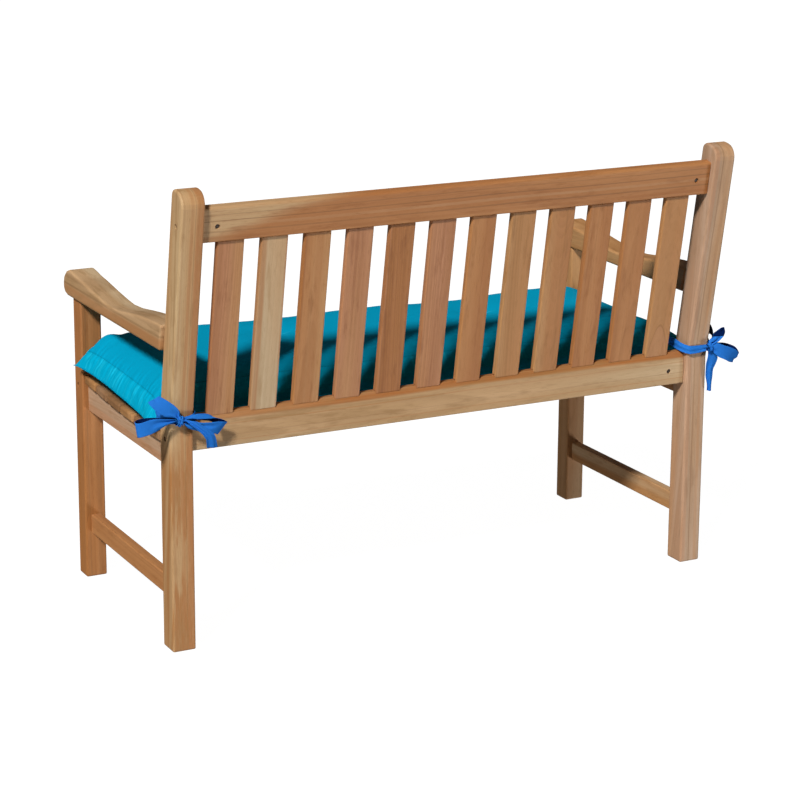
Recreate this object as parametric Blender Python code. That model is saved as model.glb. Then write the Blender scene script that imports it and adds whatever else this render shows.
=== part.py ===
"""Two-seat garden bench with a seat cushion tied to its rear posts.

Metres, +Z up. The bench's rear faces +Y, its front faces -Y, and +X is the end
that is on the left when the bench is seen from behind. Every board, post, rail,
the cushion and each ribbon tie is a solid of its own.
"""
import math

import bmesh
import bpy
from mathutils import Vector

# ---------------------------------------------------------------- sizes
GAP = 0.0003                    # clearance between neighbouring pieces
SHIFT = Vector((0.0065, 0.2363, 0.0))   # puts the bottom centre of the box at the origin

HALF_WIDTH = 0.600              # outer faces of the legs
FRONT_LEG = 0.0443              # width of a front leg along X
REAR_POST = 0.0470              # width of a rear post along X
FRONT_INNER = HALF_WIDTH - FRONT_LEG
REAR_INNER = HALF_WIDTH - REAR_POST
KNEE_Z = 0.4475                 # rear posts stand plumb below, lean back above
RAKE = math.radians(9.94)
RAKE_TAN = math.tan(RAKE)
POST_TOP = 0.8990
POST_DEPTH = 0.0505             # plumb part of a rear post
POST_DEPTH_UP = 0.0520          # leaning part, measured along Y

FRONT_LEG_FRONT = -0.5140
FRONT_LEG_BACK = -0.4705
ARM_UNDER = 0.5890

RAIL = 0.022                    # thickness of rails
RAIL_INSET = 0.012              # rails sit this far inside the posts' faces
SEAT_RAIL_UNDER = 0.358
BACK_RAIL_UNDER = 0.392
BACK_RAIL_TOP = 0.460
BACK_RAIL_SLOPE = (0.0075, 0.0105)   # its upper rear edge: in by, down by
TOP_RAIL_UNDER = 0.8025
TOP_RAIL_TOP = 0.8698

STRETCHER_UNDER = 0.0963
STRETCHER_TOP = 0.1358
STRETCHER = 0.0203

BACK_SLATS = 12
BACK_SLAT_PITCH = 0.0888
BACK_SLAT_SHIFT = 0.0030        # the row of slats sits this far towards +X
BACK_SLAT_WIDTH = 0.0545
BACK_SLAT = 0.013

# Seat slats behind the front legs: front edge, rear edge, underside z at both.
SEAT_SLAT = 0.0185
SEAT_SLAT_END = 0.597
SEAT_SLATS = (
    (-0.4665, -0.4095, 0.4165, 0.4116),
    (-0.4035, -0.3440, 0.4111, 0.4069),
    (-0.3380, -0.2750, 0.4065, 0.4037),
    (-0.2690, -0.2020, 0.4035, 0.4020),
    (-0.1960, -0.1330, 0.4018, 0.4018),
    (-0.1270, -0.0640, 0.4020, 0.4032),
)
FRONT_SLAT = (-0.5395, -0.4765, 0.4210, 0.4174)

# Side outline of an arm rest: top line from the post to the nose, then round it.
ARM_TOP = (
    (-0.045, 0.6400), (-0.070, 0.6385), (-0.100, 0.6370), (-0.135, 0.6339),
    (-0.180, 0.6285), (-0.212, 0.6240), (-0.240, 0.6203), (-0.283, 0.6180),
    (-0.315, 0.6205), (-0.345, 0.6238), (-0.375, 0.6275), (-0.400, 0.6309),
    (-0.435, 0.6355), (-0.467, 0.6388), (-0.495, 0.6435), (-0.512, 0.6455),
    (-0.530, 0.6395), (-0.5435, 0.6270), (-0.5480, 0.6130), (-0.5465, 0.6010),
    (-0.5400, 0.5930),
)
ARM_INNER = 0.553
ARM_OUTER = 0.608
RIGHT_ARM_DROP = 0.0060         # the -X arm meets its post this much lower

# Screw holes: (x, z) in the leaning top rail and in the lower back rail.
HOLE_RADIUS = 0.0050
HOLE_DEPTH = 0.004
TOP_HOLES = ((0.522, 0.8325), (-0.522, 0.8335))
LOW_HOLES = ((0.5225, 0.4200), (-0.5160, 0.4207))
# Screw holes in the outer faces of the legs and posts: (y, z).
SIDE_HOLES_REAR = ((0.0454, 0.8375), (-0.0250, 0.4188))
SIDE_HOLES_FRONT = ((-0.4950, 0.4084),)

# ---------------------------------------------------------------- cushion
CUSHION_MID_Y = -0.2580
CUSHION_HALF = (0.6105, 0.1955)       # half length and depth halfway along a side
CORNER_REACH = (0.0135, 0.0080)       # how much further the corners stand out
EDGE_Z = ((-0.455, 0.4600), (-0.300, 0.4535), (-0.150, 0.4440), (-0.050, 0.4410))
CROWN_Z = 0.5262
FLAT_END_DROP = 0.0060                # the crown is this much lower at the -X end
LEFT_SLOPE = (0.0730, 2.0)            # how the +X end slopes down: length and power
RIGHT_SLOPE = (0.1650, 2.25)          # the -X end is flatter
FRONT_SLOPE = (0.0470, 2.4)
REAR_SLOPE = (0.0660, 2.4)
CORNER_FILL = 3.8                     # how fully the corners are filled
DIP_X = -0.245                        # a shallow dip across the crown
DIP_WIDTH = 0.120
DIP_DEPTH = 0.0050
SEAM_IN = 0.021                       # seam of the side band, in from the edge
SEAM_DEPTH = 0.0016
TUFTS = ((0.245, -0.300), (-0.225, -0.300))
TUFT_DEPTH = 0.0085
TUFT_RADIUS = 0.045
CUSHION_GRID = (60, 30)

# ---------------------------------------------------------------- ties
# A ribbon is a row of stations: its middle (x, y, z) and half of its width as a
# vector. It is a strip of RIBBON thickness that is swept smoothly through them.
RIBBON = 0.0014
LEFT_LOOP_OUT = (
    (0.5905, 0.0145, 0.4625, 0.0000, 0.0000, 0.0027),
    (0.6089, 0.0200, 0.4638, -0.0001, 0.0000, 0.0063),
    (0.6287, 0.0240, 0.4610, -0.0016, 0.0000, 0.0111),
    (0.6506, 0.0250, 0.4592, -0.0037, 0.0000, 0.0133),
    (0.6657, 0.0220, 0.4568, 0.0007, 0.0000, 0.0142),
    (0.6720, 0.0140, 0.4560, 0.0026, 0.0000, 0.0144),
    (0.6655, 0.0060, 0.4566, 0.0027, 0.0000, 0.0143),
    (0.6501, 0.0010, 0.4573, 0.0011, 0.0000, 0.0142),
    (0.6330, 0.0005, 0.4570, -0.0003, 0.0000, 0.0138),
    (0.6175, 0.0035, 0.4583, -0.0002, 0.0000, 0.0103),
    (0.6037, 0.0078, 0.4609, -0.0001, 0.0000, 0.0054),
    (0.5905, 0.0115, 0.4621, 0.0000, 0.0000, 0.0025),
)
LEFT_LOOP_IN = (
    (0.5815, 0.0130, 0.4626, -0.0012, -0.0010, 0.0030),
    (0.5684, 0.0110, 0.4647, -0.0036, -0.0040, 0.0053),
    (0.5511, 0.0090, 0.4616, -0.0036, -0.0040, 0.0093),
    (0.5312, 0.0070, 0.4575, -0.0036, -0.0030, 0.0116),
    (0.5156, 0.0070, 0.4502, -0.0031, -0.0020, 0.0121),
    (0.5032, 0.0095, 0.4426, -0.0065, -0.0015, 0.0119),
    (0.4989, 0.0140, 0.4377, -0.0090, 0.0000, 0.0112),
    (0.5143, 0.0205, 0.4414, -0.0095, 0.0000, 0.0100),
    (0.5311, 0.0225, 0.4460, -0.0072, 0.0000, 0.0093),
    (0.5483, 0.0210, 0.4502, -0.0051, 0.0000, 0.0084),
    (0.5635, 0.0180, 0.4540, -0.0022, 0.0000, 0.0068),
    (0.5800, 0.0145, 0.4595, -0.0004, 0.0000, 0.0037),
)
LEFT_TAIL_UP = (
    (0.5862, 0.0140, 0.4640, -0.0022, 0.0000, 0.0022),
    (0.5951, 0.0150, 0.4765, -0.0057, 0.0000, 0.0060),
    (0.6060, 0.0130, 0.4846, -0.0078, 0.0000, 0.0090),
    (0.6181, 0.0085, 0.4947, -0.0092, 0.0000, 0.0090),
    (0.6319, 0.0020, 0.5079, -0.0110, 0.0000, 0.0036),
)
LEFT_TAIL_DOWN = (
    (0.5815, 0.0160, 0.4620, -0.0014, 0.0000, 0.0025),
    (0.5722, 0.0225, 0.4577, -0.0036, 0.0000, 0.0048),
    (0.5586, 0.0290, 0.4513, -0.0046, 0.0000, 0.0079),
    (0.5434, 0.0325, 0.4420, -0.0075, 0.0000, 0.0060),
    (0.5339, 0.0320, 0.4282, -0.0098, 0.0000, 0.0015),
    (0.5283, 0.0280, 0.4171, -0.0108, 0.0000, 0.0000),
    (0.5256, 0.0250, 0.4054, -0.0112, 0.0000, -0.0011),
)
LEFT_KNOT = (0.5850, 0.0128, 0.4618)
# The part that goes round the post, from the cushion's corner and back to it.
LEFT_BAND = (
    (0.5930, -0.0652, 0.4640, 0.0000, -0.0038, 0.0088),
    (0.6050, -0.0550, 0.4630, 0.0000, -0.0020, 0.0095),
    (0.6090, -0.0380, 0.4625, 0.0000, 0.0000, 0.0092),
    (0.6065, -0.0120, 0.4625, 0.0000, 0.0000, 0.0080),
    (0.6040, 0.0020, 0.4622, 0.0000, 0.0000, 0.0065),
    (0.5985, 0.0085, 0.4620, 0.0000, 0.0000, 0.0055),
    (0.5850, 0.0102, 0.4618, 0.0000, 0.0000, 0.0050),
    (0.5700, 0.0085, 0.4616, 0.0000, 0.0000, 0.0060),
    (0.5585, 0.0065, 0.4614, 0.0000, 0.0000, 0.0075),
    (0.5500, 0.0025, 0.4640, 0.0000, 0.0000, 0.0088),
    (0.5486, -0.0065, 0.4715, 0.0000, 0.0000, 0.0088),
    (0.5480, -0.0200, 0.4740, 0.0000, 0.0000, 0.0105),
    (0.5475, -0.0370, 0.4745, 0.0000, 0.0000, 0.0105),
    (0.5490, -0.0560, 0.4745, 0.0000, -0.0030, 0.0100),
    (0.5510, -0.0717, 0.4745, 0.0000, -0.0040, 0.0088),
)
RIGHT_LOOP_OUT = (
    (-0.6005, 0.0115, 0.4700, -0.0008, 0.0000, 0.0036),
    (-0.6126, 0.0120, 0.4675, -0.0034, 0.0000, 0.0085),
    (-0.6260, 0.0160, 0.4595, -0.0066, 0.0000, 0.0125),
    (-0.6457, 0.0140, 0.4492, -0.0088, 0.0000, 0.0115),
    (-0.6634, 0.0080, 0.4401, -0.0100, 0.0000, 0.0104),
    (-0.6747, 0.0000, 0.4343, -0.0106, 0.0000, 0.0096),
    (-0.6776, -0.0080, 0.4370, -0.0097, 0.0000, 0.0104),
    (-0.6703, -0.0140, 0.4439, -0.0092, 0.0000, 0.0110),
    (-0.6524, -0.0140, 0.4528, -0.0072, 0.0000, 0.0118),
    (-0.6321, -0.0090, 0.4620, -0.0044, 0.0000, 0.0083),
    (-0.6138, -0.0010, 0.4693, -0.0018, 0.0000, 0.0038),
    (-0.6030, 0.0095, 0.4698, -0.0010, 0.0000, 0.0030),
)
RIGHT_LOOP_FORE = (
    (-0.6015, 0.0095, 0.4700, 0.0000, 0.0000, 0.0030),
    (-0.6095, -0.0080, 0.4760, 0.0000, -0.0010, 0.0070),
    (-0.6140, -0.0230, 0.4850, 0.0000, -0.0030, 0.0110),
    (-0.6230, -0.0390, 0.4930, 0.0000, -0.0050, 0.0120),
    (-0.6325, -0.0450, 0.4945, 0.0000, -0.0060, 0.0120),
    (-0.6370, -0.0390, 0.4900, 0.0000, -0.0050, 0.0118),
    (-0.6310, -0.0230, 0.4820, 0.0000, -0.0030, 0.0100),
    (-0.6170, -0.0060, 0.4740, 0.0000, -0.0010, 0.0060),
    (-0.6030, 0.0100, 0.4700, 0.0000, 0.0000, 0.0030),
)
RIGHT_TAIL_UP = (
    (-0.6005, 0.0125, 0.4715, 0.0018, 0.0000, 0.0034),
    (-0.6077, 0.0150, 0.4814, 0.0084, 0.0000, 0.0054),
    (-0.6132, 0.0160, 0.4884, 0.0121, 0.0000, 0.0023),
    (-0.6217, 0.0120, 0.4943, 0.0142, 0.0000, -0.0011),
    (-0.6266, 0.0000, 0.4999, 0.0130, 0.0000, -0.0060),
)
RIGHT_TAIL_DOWN = (
    (-0.6005, 0.0125, 0.4675, 0.0030, 0.0000, 0.0016),
    (-0.6075, 0.0100, 0.4559, 0.0090, 0.0000, 0.0003),
    (-0.6090, 0.0100, 0.4422, 0.0122, 0.0000, 0.0015),
    (-0.6064, 0.0085, 0.4249, 0.0100, 0.0000, 0.0003),
    (-0.6058, 0.0070, 0.4113, 0.0093, 0.0000, 0.0003),
    (-0.6066, 0.0060, 0.3957, 0.0079, 0.0000, 0.0001),
    (-0.6083, 0.0050, 0.3720, 0.0054, 0.0000, 0.0010),
)
RIGHT_KNOT = (-0.5985, 0.0135, 0.4694)
RIGHT_BAND = (
    (-0.5480, -0.0727, 0.4745, 0.0000, -0.0046, 0.0088),
    (-0.5450, -0.0560, 0.4742, 0.0000, -0.0030, 0.0095),
    (-0.5420, -0.0350, 0.4738, 0.0000, 0.0000, 0.0098),
    (-0.5410, -0.0180, 0.4725, 0.0000, 0.0000, 0.0096),
    (-0.5445, -0.0040, 0.4695, 0.0000, 0.0000, 0.0088),
    (-0.5520, 0.0052, 0.4670, 0.0000, 0.0000, 0.0086),
    (-0.5600, 0.0075, 0.4665, 0.0000, 0.0000, 0.0084),
    (-0.5720, 0.0073, 0.4665, 0.0000, 0.0000, 0.0080),
    (-0.5860, 0.0078, 0.4672, 0.0000, 0.0000, 0.0072),
    (-0.5965, 0.0088, 0.4684, 0.0000, 0.0000, 0.0060),
    (-0.6035, 0.0080, 0.4690, 0.0000, 0.0000, 0.0054),
    (-0.6060, 0.0000, 0.4686, 0.0000, 0.0000, 0.0056),
    (-0.6062, -0.0110, 0.4675, 0.0000, 0.0000, 0.0066),
    (-0.6065, -0.0220, 0.4660, 0.0000, 0.0000, 0.0080),
    (-0.6085, -0.0400, 0.4650, 0.0000, 0.0000, 0.0090),
    (-0.6050, -0.0550, 0.4640, 0.0000, -0.0020, 0.0095),
    (-0.5930, -0.0656, 0.4570, 0.0000, -0.0032, 0.0065),
)
KNOT_RADII = (0.0085, 0.0068, 0.0100)


# ---------------------------------------------------------------- helpers
def make_material(name, colour, roughness):
    """One plain Principled material."""
    made = bpy.data.materials.new(name)
    made.use_nodes = True
    shader = made.node_tree.nodes["Principled BSDF"]
    shader.inputs["Base Color"].default_value = (*colour, 1.0)
    shader.inputs["Roughness"].default_value = roughness
    return made


def add_object(name, shape, colour, roughness):
    """Turn a bmesh into a named object, moved to the row's frame."""
    bmesh.ops.recalc_face_normals(shape, faces=shape.faces)
    bmesh.ops.translate(shape, vec=SHIFT, verts=shape.verts)
    bmesh.ops.triangulate(shape, faces=shape.faces)
    mesh = bpy.data.meshes.new(name)
    shape.to_mesh(mesh)
    shape.free()
    mesh.materials.append(make_material(name, colour, roughness))
    made = bpy.data.objects.new(name, mesh)
    bpy.context.scene.collection.objects.link(made)
    return made


WOOD = (0.42, 0.25, 0.13)
CLOTH = (0.01, 0.36, 0.56)
TIE = (0.02, 0.16, 0.60)


def rounded_outline(corners, steps=5):
    """Corners (y, z, radius) to a list of points with the corners rounded."""
    points = []
    count = len(corners)
    for index, (y, z, radius) in enumerate(corners):
        here = Vector((y, z))
        if radius <= 0.0:
            points.append(here)
            continue
        before = (Vector(corners[index - 1][:2]) - here).normalized()
        after = (Vector(corners[(index + 1) % count][:2]) - here).normalized()
        half = before.angle(after) / 2.0
        reach = radius / math.tan(half)
        middle = here + (before + after).normalized() * (radius / math.sin(half))
        start = here + before * reach - middle
        turn = math.pi - 2.0 * half
        sign = 1.0 if start.cross(here + after * reach - middle) > 0 else -1.0
        for step in range(steps + 1):
            angle = sign * turn * step / steps
            cos, sin = math.cos(angle), math.sin(angle)
            points.append(middle + Vector((start.x * cos - start.y * sin,
                                           start.x * sin + start.y * cos)))
    return points


def extrude_side(name, outline, x0, x1, edge=0.0025, segments=2):
    """A board: a (y, z) outline carried from x0 to x1, its edges eased."""
    shape = bmesh.new()
    near = [shape.verts.new((x0, p[0], p[1])) for p in outline]
    far = [shape.verts.new((x1, p[0], p[1])) for p in outline]
    count = len(outline)
    shape.faces.new(near)
    shape.faces.new(far[::-1])
    for i in range(count):
        j = (i + 1) % count
        shape.faces.new((near[j], near[i], far[i], far[j]))
    bmesh.ops.recalc_face_normals(shape, faces=shape.faces)
    sharp = [e for e in shape.edges if e.calc_face_angle(0.0) > math.radians(24)]
    bmesh.ops.bevel(shape, geom=sharp, offset=edge, offset_type='OFFSET', affect='EDGES',
                    segments=segments, profile=0.5, material=-1, clamp_overlap=True)
    return add_object(name, shape, WOOD, 0.6)


def leaning(along, normal):
    """A point in the leaning back's plane: up from the knee, out to the rear."""
    return (along * math.sin(RAKE) + normal * math.cos(RAKE),
            KNEE_Z + along * math.cos(RAKE) - normal * math.sin(RAKE))


def up_the_rake(z, normal):
    """Length along the lean at which a point at this normal has height z."""
    return (z - KNEE_Z + normal * math.sin(RAKE)) / math.cos(RAKE)


def cut_holes(target, places, direction):
    """Shallow round screw holes. Places are centres of the holes' mouths."""
    name = target.name + "_holes"
    shape = bmesh.new()
    steps = 20
    axis = Vector(direction).normalized()
    side = axis.orthogonal().normalized()
    other = axis.cross(side)
    for place in places:
        centre = Vector(place) + SHIFT
        rings = []
        for depth in (-0.004, HOLE_DEPTH):
            ring = []
            for step in range(steps):
                angle = 2.0 * math.pi * step / steps
                offset = side * math.cos(angle) + other * math.sin(angle)
                ring.append(shape.verts.new(centre + axis * depth + offset * HOLE_RADIUS))
            rings.append(ring)
        shape.faces.new(rings[0])
        shape.faces.new(rings[1][::-1])
        for i in range(steps):
            j = (i + 1) % steps
            shape.faces.new((rings[0][j], rings[0][i], rings[1][i], rings[1][j]))
    bmesh.ops.recalc_face_normals(shape, faces=shape.faces)
    mesh = bpy.data.meshes.new(name)
    shape.to_mesh(mesh)
    shape.free()
    cutter = bpy.data.objects.new(name, mesh)
    bpy.context.scene.collection.objects.link(cutter)
    cutter.hide_render = True
    cutter.display_type = 'WIRE'
    cut = target.modifiers.new("holes", 'BOOLEAN')
    cut.operation = 'DIFFERENCE'
    cut.solver = 'EXACT'
    cut.object = cutter


# ---------------------------------------------------------------- bench
def rear_post(name, side):
    top = up_the_rake(POST_TOP, 0.0)
    depth = POST_DEPTH_UP * math.cos(RAKE)
    back_top = leaning(top, 0.0)
    front_top = leaning(top, -depth)
    front_knee_z = KNEE_Z - (POST_DEPTH - POST_DEPTH_UP) / RAKE_TAN
    outline = rounded_outline((
        (0.0, 0.0, 0.0), (0.0, KNEE_Z, 0.0),
        (back_top[0], back_top[1], 0.026), (front_top[0], front_top[1], 0.015),
        (-POST_DEPTH, front_knee_z, 0.0), (-POST_DEPTH, 0.0, 0.0)))
    ends = sorted((side * REAR_INNER, side * HALF_WIDTH))
    made = extrude_side(name, outline, ends[0], ends[1], edge=0.0035)
    cut_holes(made, [(side * HALF_WIDTH, y, z) for y, z in SIDE_HOLES_REAR], (-side, 0, 0))


def front_leg(name, side):
    outline = ((FRONT_LEG_FRONT, 0.0), (FRONT_LEG_FRONT, ARM_UNDER - GAP),
               (FRONT_LEG_BACK, ARM_UNDER - GAP), (FRONT_LEG_BACK, 0.0))
    ends = sorted((side * FRONT_INNER, side * HALF_WIDTH))
    made = extrude_side(name, outline, ends[0], ends[1], edge=0.0035)
    cut_holes(made, [(side * HALF_WIDTH, y, z) for y, z in SIDE_HOLES_FRONT], (-side, 0, 0))


def post_front(z):
    """y of the rear posts' front face at height z, less the clearance."""
    return (z - KNEE_Z) * RAKE_TAN - POST_DEPTH_UP - GAP


def arm_rest(name, side):
    drop = RIGHT_ARM_DROP if side < 0 else 0.0
    start_z = ARM_TOP[0][1]
    outline = [(post_front(ARM_UNDER - drop), ARM_UNDER), (post_front(start_z - drop), start_z)]
    outline += list(ARM_TOP)
    outline += [(-0.5250, ARM_UNDER), (FRONT_LEG_BACK, ARM_UNDER)]
    reach = post_front(ARM_UNDER) - FRONT_LEG_BACK
    outline = [(y, z - drop * max(y - FRONT_LEG_BACK, 0.0) / reach) for y, z in outline]
    ends = sorted((side * ARM_INNER, side * ARM_OUTER))
    extrude_side(name, outline, ends[0], ends[1], edge=0.0055, segments=3)


def level_rail(name, y0, y1, z0, z1, half, back_slope=False):
    """A rail along X between the posts, with a sloped upper rear edge if asked."""
    if back_slope:
        in_by, down_by = BACK_RAIL_SLOPE
        outline = ((y0, z0), (y0, z1), (y1 - in_by, z1), (y1, z1 - down_by), (y1, z0))
    else:
        outline = ((y0, z0), (y0, z1), (y1, z1), (y1, z0))
    return extrude_side(name, outline, -half, half, edge=0.002)


def top_rail():
    back = -RAIL_INSET
    front = back - RAIL
    low = up_the_rake(TOP_RAIL_UNDER, back)
    high = up_the_rake(TOP_RAIL_TOP, back)
    corners = [leaning(low, front), leaning(high, front), leaning(high, back), leaning(low, back)]
    radii = (0.0, 0.006, 0.006, 0.0)
    outline = rounded_outline([(y, z, r) for (y, z), r in zip(corners, radii)], steps=4)
    made = extrude_side("top_rail", outline, -REAR_INNER + GAP, REAR_INNER - GAP, edge=0.002)
    places = []
    for x, z in TOP_HOLES:
        y, z = leaning(up_the_rake(z, back), back)
        places.append((x, y, z))
    cut_holes(made, places, (0.0, -math.cos(RAKE), math.sin(RAKE)))


def back_slat(name, x):
    """A leaning slat whose foot follows the lower rail's sloped edge."""
    back = -0.0165
    front = back - BACK_SLAT
    foot_front = leaning(up_the_rake(BACK_RAIL_TOP + GAP, front), front)
    high = up_the_rake(TOP_RAIL_UNDER, -RAIL_INSET) - GAP
    slope_start = -RAIL_INSET - BACK_RAIL_SLOPE[0]
    slope = BACK_RAIL_SLOPE[1] / BACK_RAIL_SLOPE[0]
    foot_top = BACK_RAIL_TOP + 2.0 * GAP
    reach = KNEE_Z * RAKE_TAN - back / math.cos(RAKE) + slope_start
    foot_z = (foot_top + slope * reach) / (1.0 + slope * RAKE_TAN)
    foot_back = leaning(up_the_rake(foot_z, back), back)
    outline = (foot_front, leaning(high, front), leaning(high, back), foot_back,
               (slope_start, foot_top))
    shape_half = BACK_SLAT_WIDTH / 2.0
    extrude_side(name, outline, x - shape_half, x + shape_half, edge=0.0022)


def seat_slat(name, row, half, edge=0.0045):
    y0, y1, z0, z1 = row
    tilt = Vector((y1 - y0, z1 - z0)).normalized()
    up = Vector((-tilt.y, tilt.x)) * SEAT_SLAT
    outline = ((y0, z0), (y1, z1), (y1 + up.x, z1 + up.y), (y0 + up.x, z0 + up.y))
    extrude_side(name, outline, -half, half, edge=edge)


def side_seat_rail(name, side):
    """The rail under the seat slats' ends, its top following their dip."""
    y_front = FRONT_LEG_BACK + GAP
    y_rear = -POST_DEPTH - GAP
    top = [(y_front, SEAT_SLATS[0][2])]
    for y0, y1, z0, z1 in SEAT_SLATS:
        top.append((y0, z0))
        top.append((y1, z1))
    top.append((y_rear, SEAT_SLATS[-1][3]))
    outline = [(y_front, SEAT_RAIL_UNDER)]
    outline += [(y, z - 2.0 * GAP) for y, z in top]
    outline.append((y_rear, SEAT_RAIL_UNDER))
    outer = HALF_WIDTH - RAIL_INSET
    ends = sorted((side * outer, side * (outer - RAIL)))
    extrude_side(name, outline, ends[0], ends[1], edge=0.0015, segments=1)


def stretcher(name, side):
    outer = HALF_WIDTH - RAIL_INSET
    ends = sorted((side * outer, side * (outer - STRETCHER)))
    outline = ((FRONT_LEG_BACK + GAP, STRETCHER_UNDER), (FRONT_LEG_BACK + GAP, STRETCHER_TOP),
               (-POST_DEPTH - GAP, STRETCHER_TOP), (-POST_DEPTH - GAP, STRETCHER_UNDER))
    extrude_side(name, outline, ends[0], ends[1], edge=0.002)


def build_bench():
    for word, side in (("left", 1), ("right", -1)):
        rear_post("rear_post_" + word, side)
        front_leg("front_leg_" + word, side)
        arm_rest("arm_rest_" + word, side)
        side_seat_rail("side_seat_rail_" + word, side)
        stretcher("side_stretcher_" + word, side)
    top_rail()
    low = level_rail("lower_back_rail", -RAIL_INSET - RAIL, -RAIL_INSET, BACK_RAIL_UNDER,
                     BACK_RAIL_TOP, REAR_INNER - GAP, back_slope=True)
    cut_holes(low, [(x, -RAIL_INSET, z) for x, z in LOW_HOLES], (0, -1, 0))
    front_mid = (FRONT_LEG_FRONT + FRONT_LEG_BACK) / 2.0
    front_top = min(FRONT_SLAT[2], FRONT_SLAT[3]) - GAP
    level_rail("front_seat_rail", front_mid - RAIL / 2.0, front_mid + RAIL / 2.0,
               SEAT_RAIL_UNDER, front_top, FRONT_INNER - GAP)
    for index in range(BACK_SLATS):
        x = (index - (BACK_SLATS - 1) / 2.0) * BACK_SLAT_PITCH + BACK_SLAT_SHIFT
        back_slat("back_slat_%02d" % (BACK_SLATS - index), x)
    seat_slat("seat_slat_1", FRONT_SLAT, FRONT_INNER - 0.002, edge=0.0055)
    for index, row in enumerate(SEAT_SLATS):
        seat_slat("seat_slat_%d" % (index + 2), row, SEAT_SLAT_END)


# ---------------------------------------------------------------- cushion
def between(table, value):
    """Straight interpolation in a table of (position, result)."""
    if value <= table[0][0]:
        return table[0][1]
    for (a, low), (b, high) in zip(table, table[1:]):
        if value <= b:
            return low + (high - low) * (value - a) / (b - a)
    return table[-1][1]


def seat_height(y):
    """Top of the seat slats under the cushion, gaps bridged."""
    table = []
    for y0, y1, z0, z1 in SEAT_SLATS:
        table.append((y0, z0 + SEAT_SLAT))
        table.append((y1, z1 + SEAT_SLAT))
    return between(table, y)


def fall(distance, slope):
    """1 at the edge, 0 past the slope's length, steepest at the edge."""
    length, power = slope
    return (1.0 - min(max(distance / length, 0.0), 1.0)) ** power


def crown_height(x, u):
    """Height of the full middle of the cushion above the floor."""
    towards_end = min(max((-u - 0.3) / 0.7, 0.0), 1.0)
    dip = DIP_DEPTH * math.exp(-((x - DIP_X) / DIP_WIDTH) ** 2)
    return CROWN_Z - FLAT_END_DROP * towards_end - dip


def cushion_point(u, v, upper):
    """A point of the cushion's upper or lower skin, u and v from -1 to 1."""
    half_x = CUSHION_HALF[0] + CORNER_REACH[0] * v ** 4
    half_y = CUSHION_HALF[1] + CORNER_REACH[1] * u ** 12
    x = u * half_x
    y = CUSHION_MID_Y + v * half_y
    end = half_x * (1.0 - abs(u))
    side = half_y * (1.0 - abs(v))
    edge_z = between(EDGE_Z, y)
    if upper:
        low_end = fall(end, LEFT_SLOPE if u > 0 else RIGHT_SLOPE)
        low_side = fall(side, REAR_SLOPE if v > 0 else FRONT_SLOPE)
        low = (low_end ** CORNER_FILL + low_side ** CORNER_FILL) ** (1.0 / CORNER_FILL)
        z = edge_z + (crown_height(x, u) - edge_z) * (1.0 - min(low, 1.0))
        for tx, ty in TUFTS:
            away = math.hypot(x - tx, y - ty) / TUFT_RADIUS
            z -= TUFT_DEPTH * math.exp(-away * away)
        near = min(end, side)
        z -= SEAM_DEPTH * math.exp(-((near - SEAM_IN) / 0.004) ** 2)
        return Vector((x, y, z))
    rest = seat_height(y) + 0.0009
    lift = fall(end, (0.060, 1.7)) + fall(side, (0.040, 1.7))
    return Vector((x, y, rest + (edge_z - rest) * min(lift, 1.0)))


def spread(count, half, near_edge):
    """Grid positions from -1 to 1, with rows close together near both edges."""
    inner = 1.0 - sum(near_edge) / half
    marks = []
    position = 1.0
    for width in near_edge:
        marks.append(position)
        position -= width / half
    middle = count - 2 * len(near_edge)
    for index in range(middle + 1):
        marks.append(inner - 2.0 * inner * index / middle)
    position = -inner
    for width in reversed(near_edge):
        position -= width / half
        marks.append(position)
    return marks


def build_cushion():
    steps = (0.007, 0.007, 0.004, 0.004, 0.005, 0.011, 0.014, 0.016)
    us = spread(CUSHION_GRID[0], CUSHION_HALF[0], steps)
    vs = spread(CUSHION_GRID[1], CUSHION_HALF[1], steps)
    shape = bmesh.new()
    skins = []
    for upper in (True, False):
        rows = []
        for i, u in enumerate(us):
            row = []
            for j, v in enumerate(vs):
                rim = i in (0, len(us) - 1) or j in (0, len(vs) - 1)
                if rim and not upper:
                    row.append(skins[0][i][j])
                else:
                    row.append(shape.verts.new(cushion_point(u, v, upper)))
            rows.append(row)
        skins.append(rows)
    for rows in skins:
        for i in range(len(us) - 1):
            for j in range(len(vs) - 1):
                shape.faces.new((rows[i][j], rows[i + 1][j], rows[i + 1][j + 1], rows[i][j + 1]))
    add_object("seat_cushion", shape, CLOTH, 0.8)


# ---------------------------------------------------------------- ties
def smooth_stations(stations, steps):
    """Catmull-Rom through rows of numbers."""
    rows = []
    last = len(stations) - 1
    for index in range(last):
        a = stations[max(index - 1, 0)]
        b = stations[index]
        c = stations[index + 1]
        d = stations[min(index + 2, last)]
        for step in range(steps):
            t = step / steps
            rows.append([0.5 * (2 * q + (r - p) * t + (2 * p - 5 * q + 4 * r - s) * t * t
                                + (3 * q - p - 3 * r + s) * t ** 3)
                         for p, q, r, s in zip(a, b, c, d)])
    rows.append(list(stations[last]))
    return rows


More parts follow.
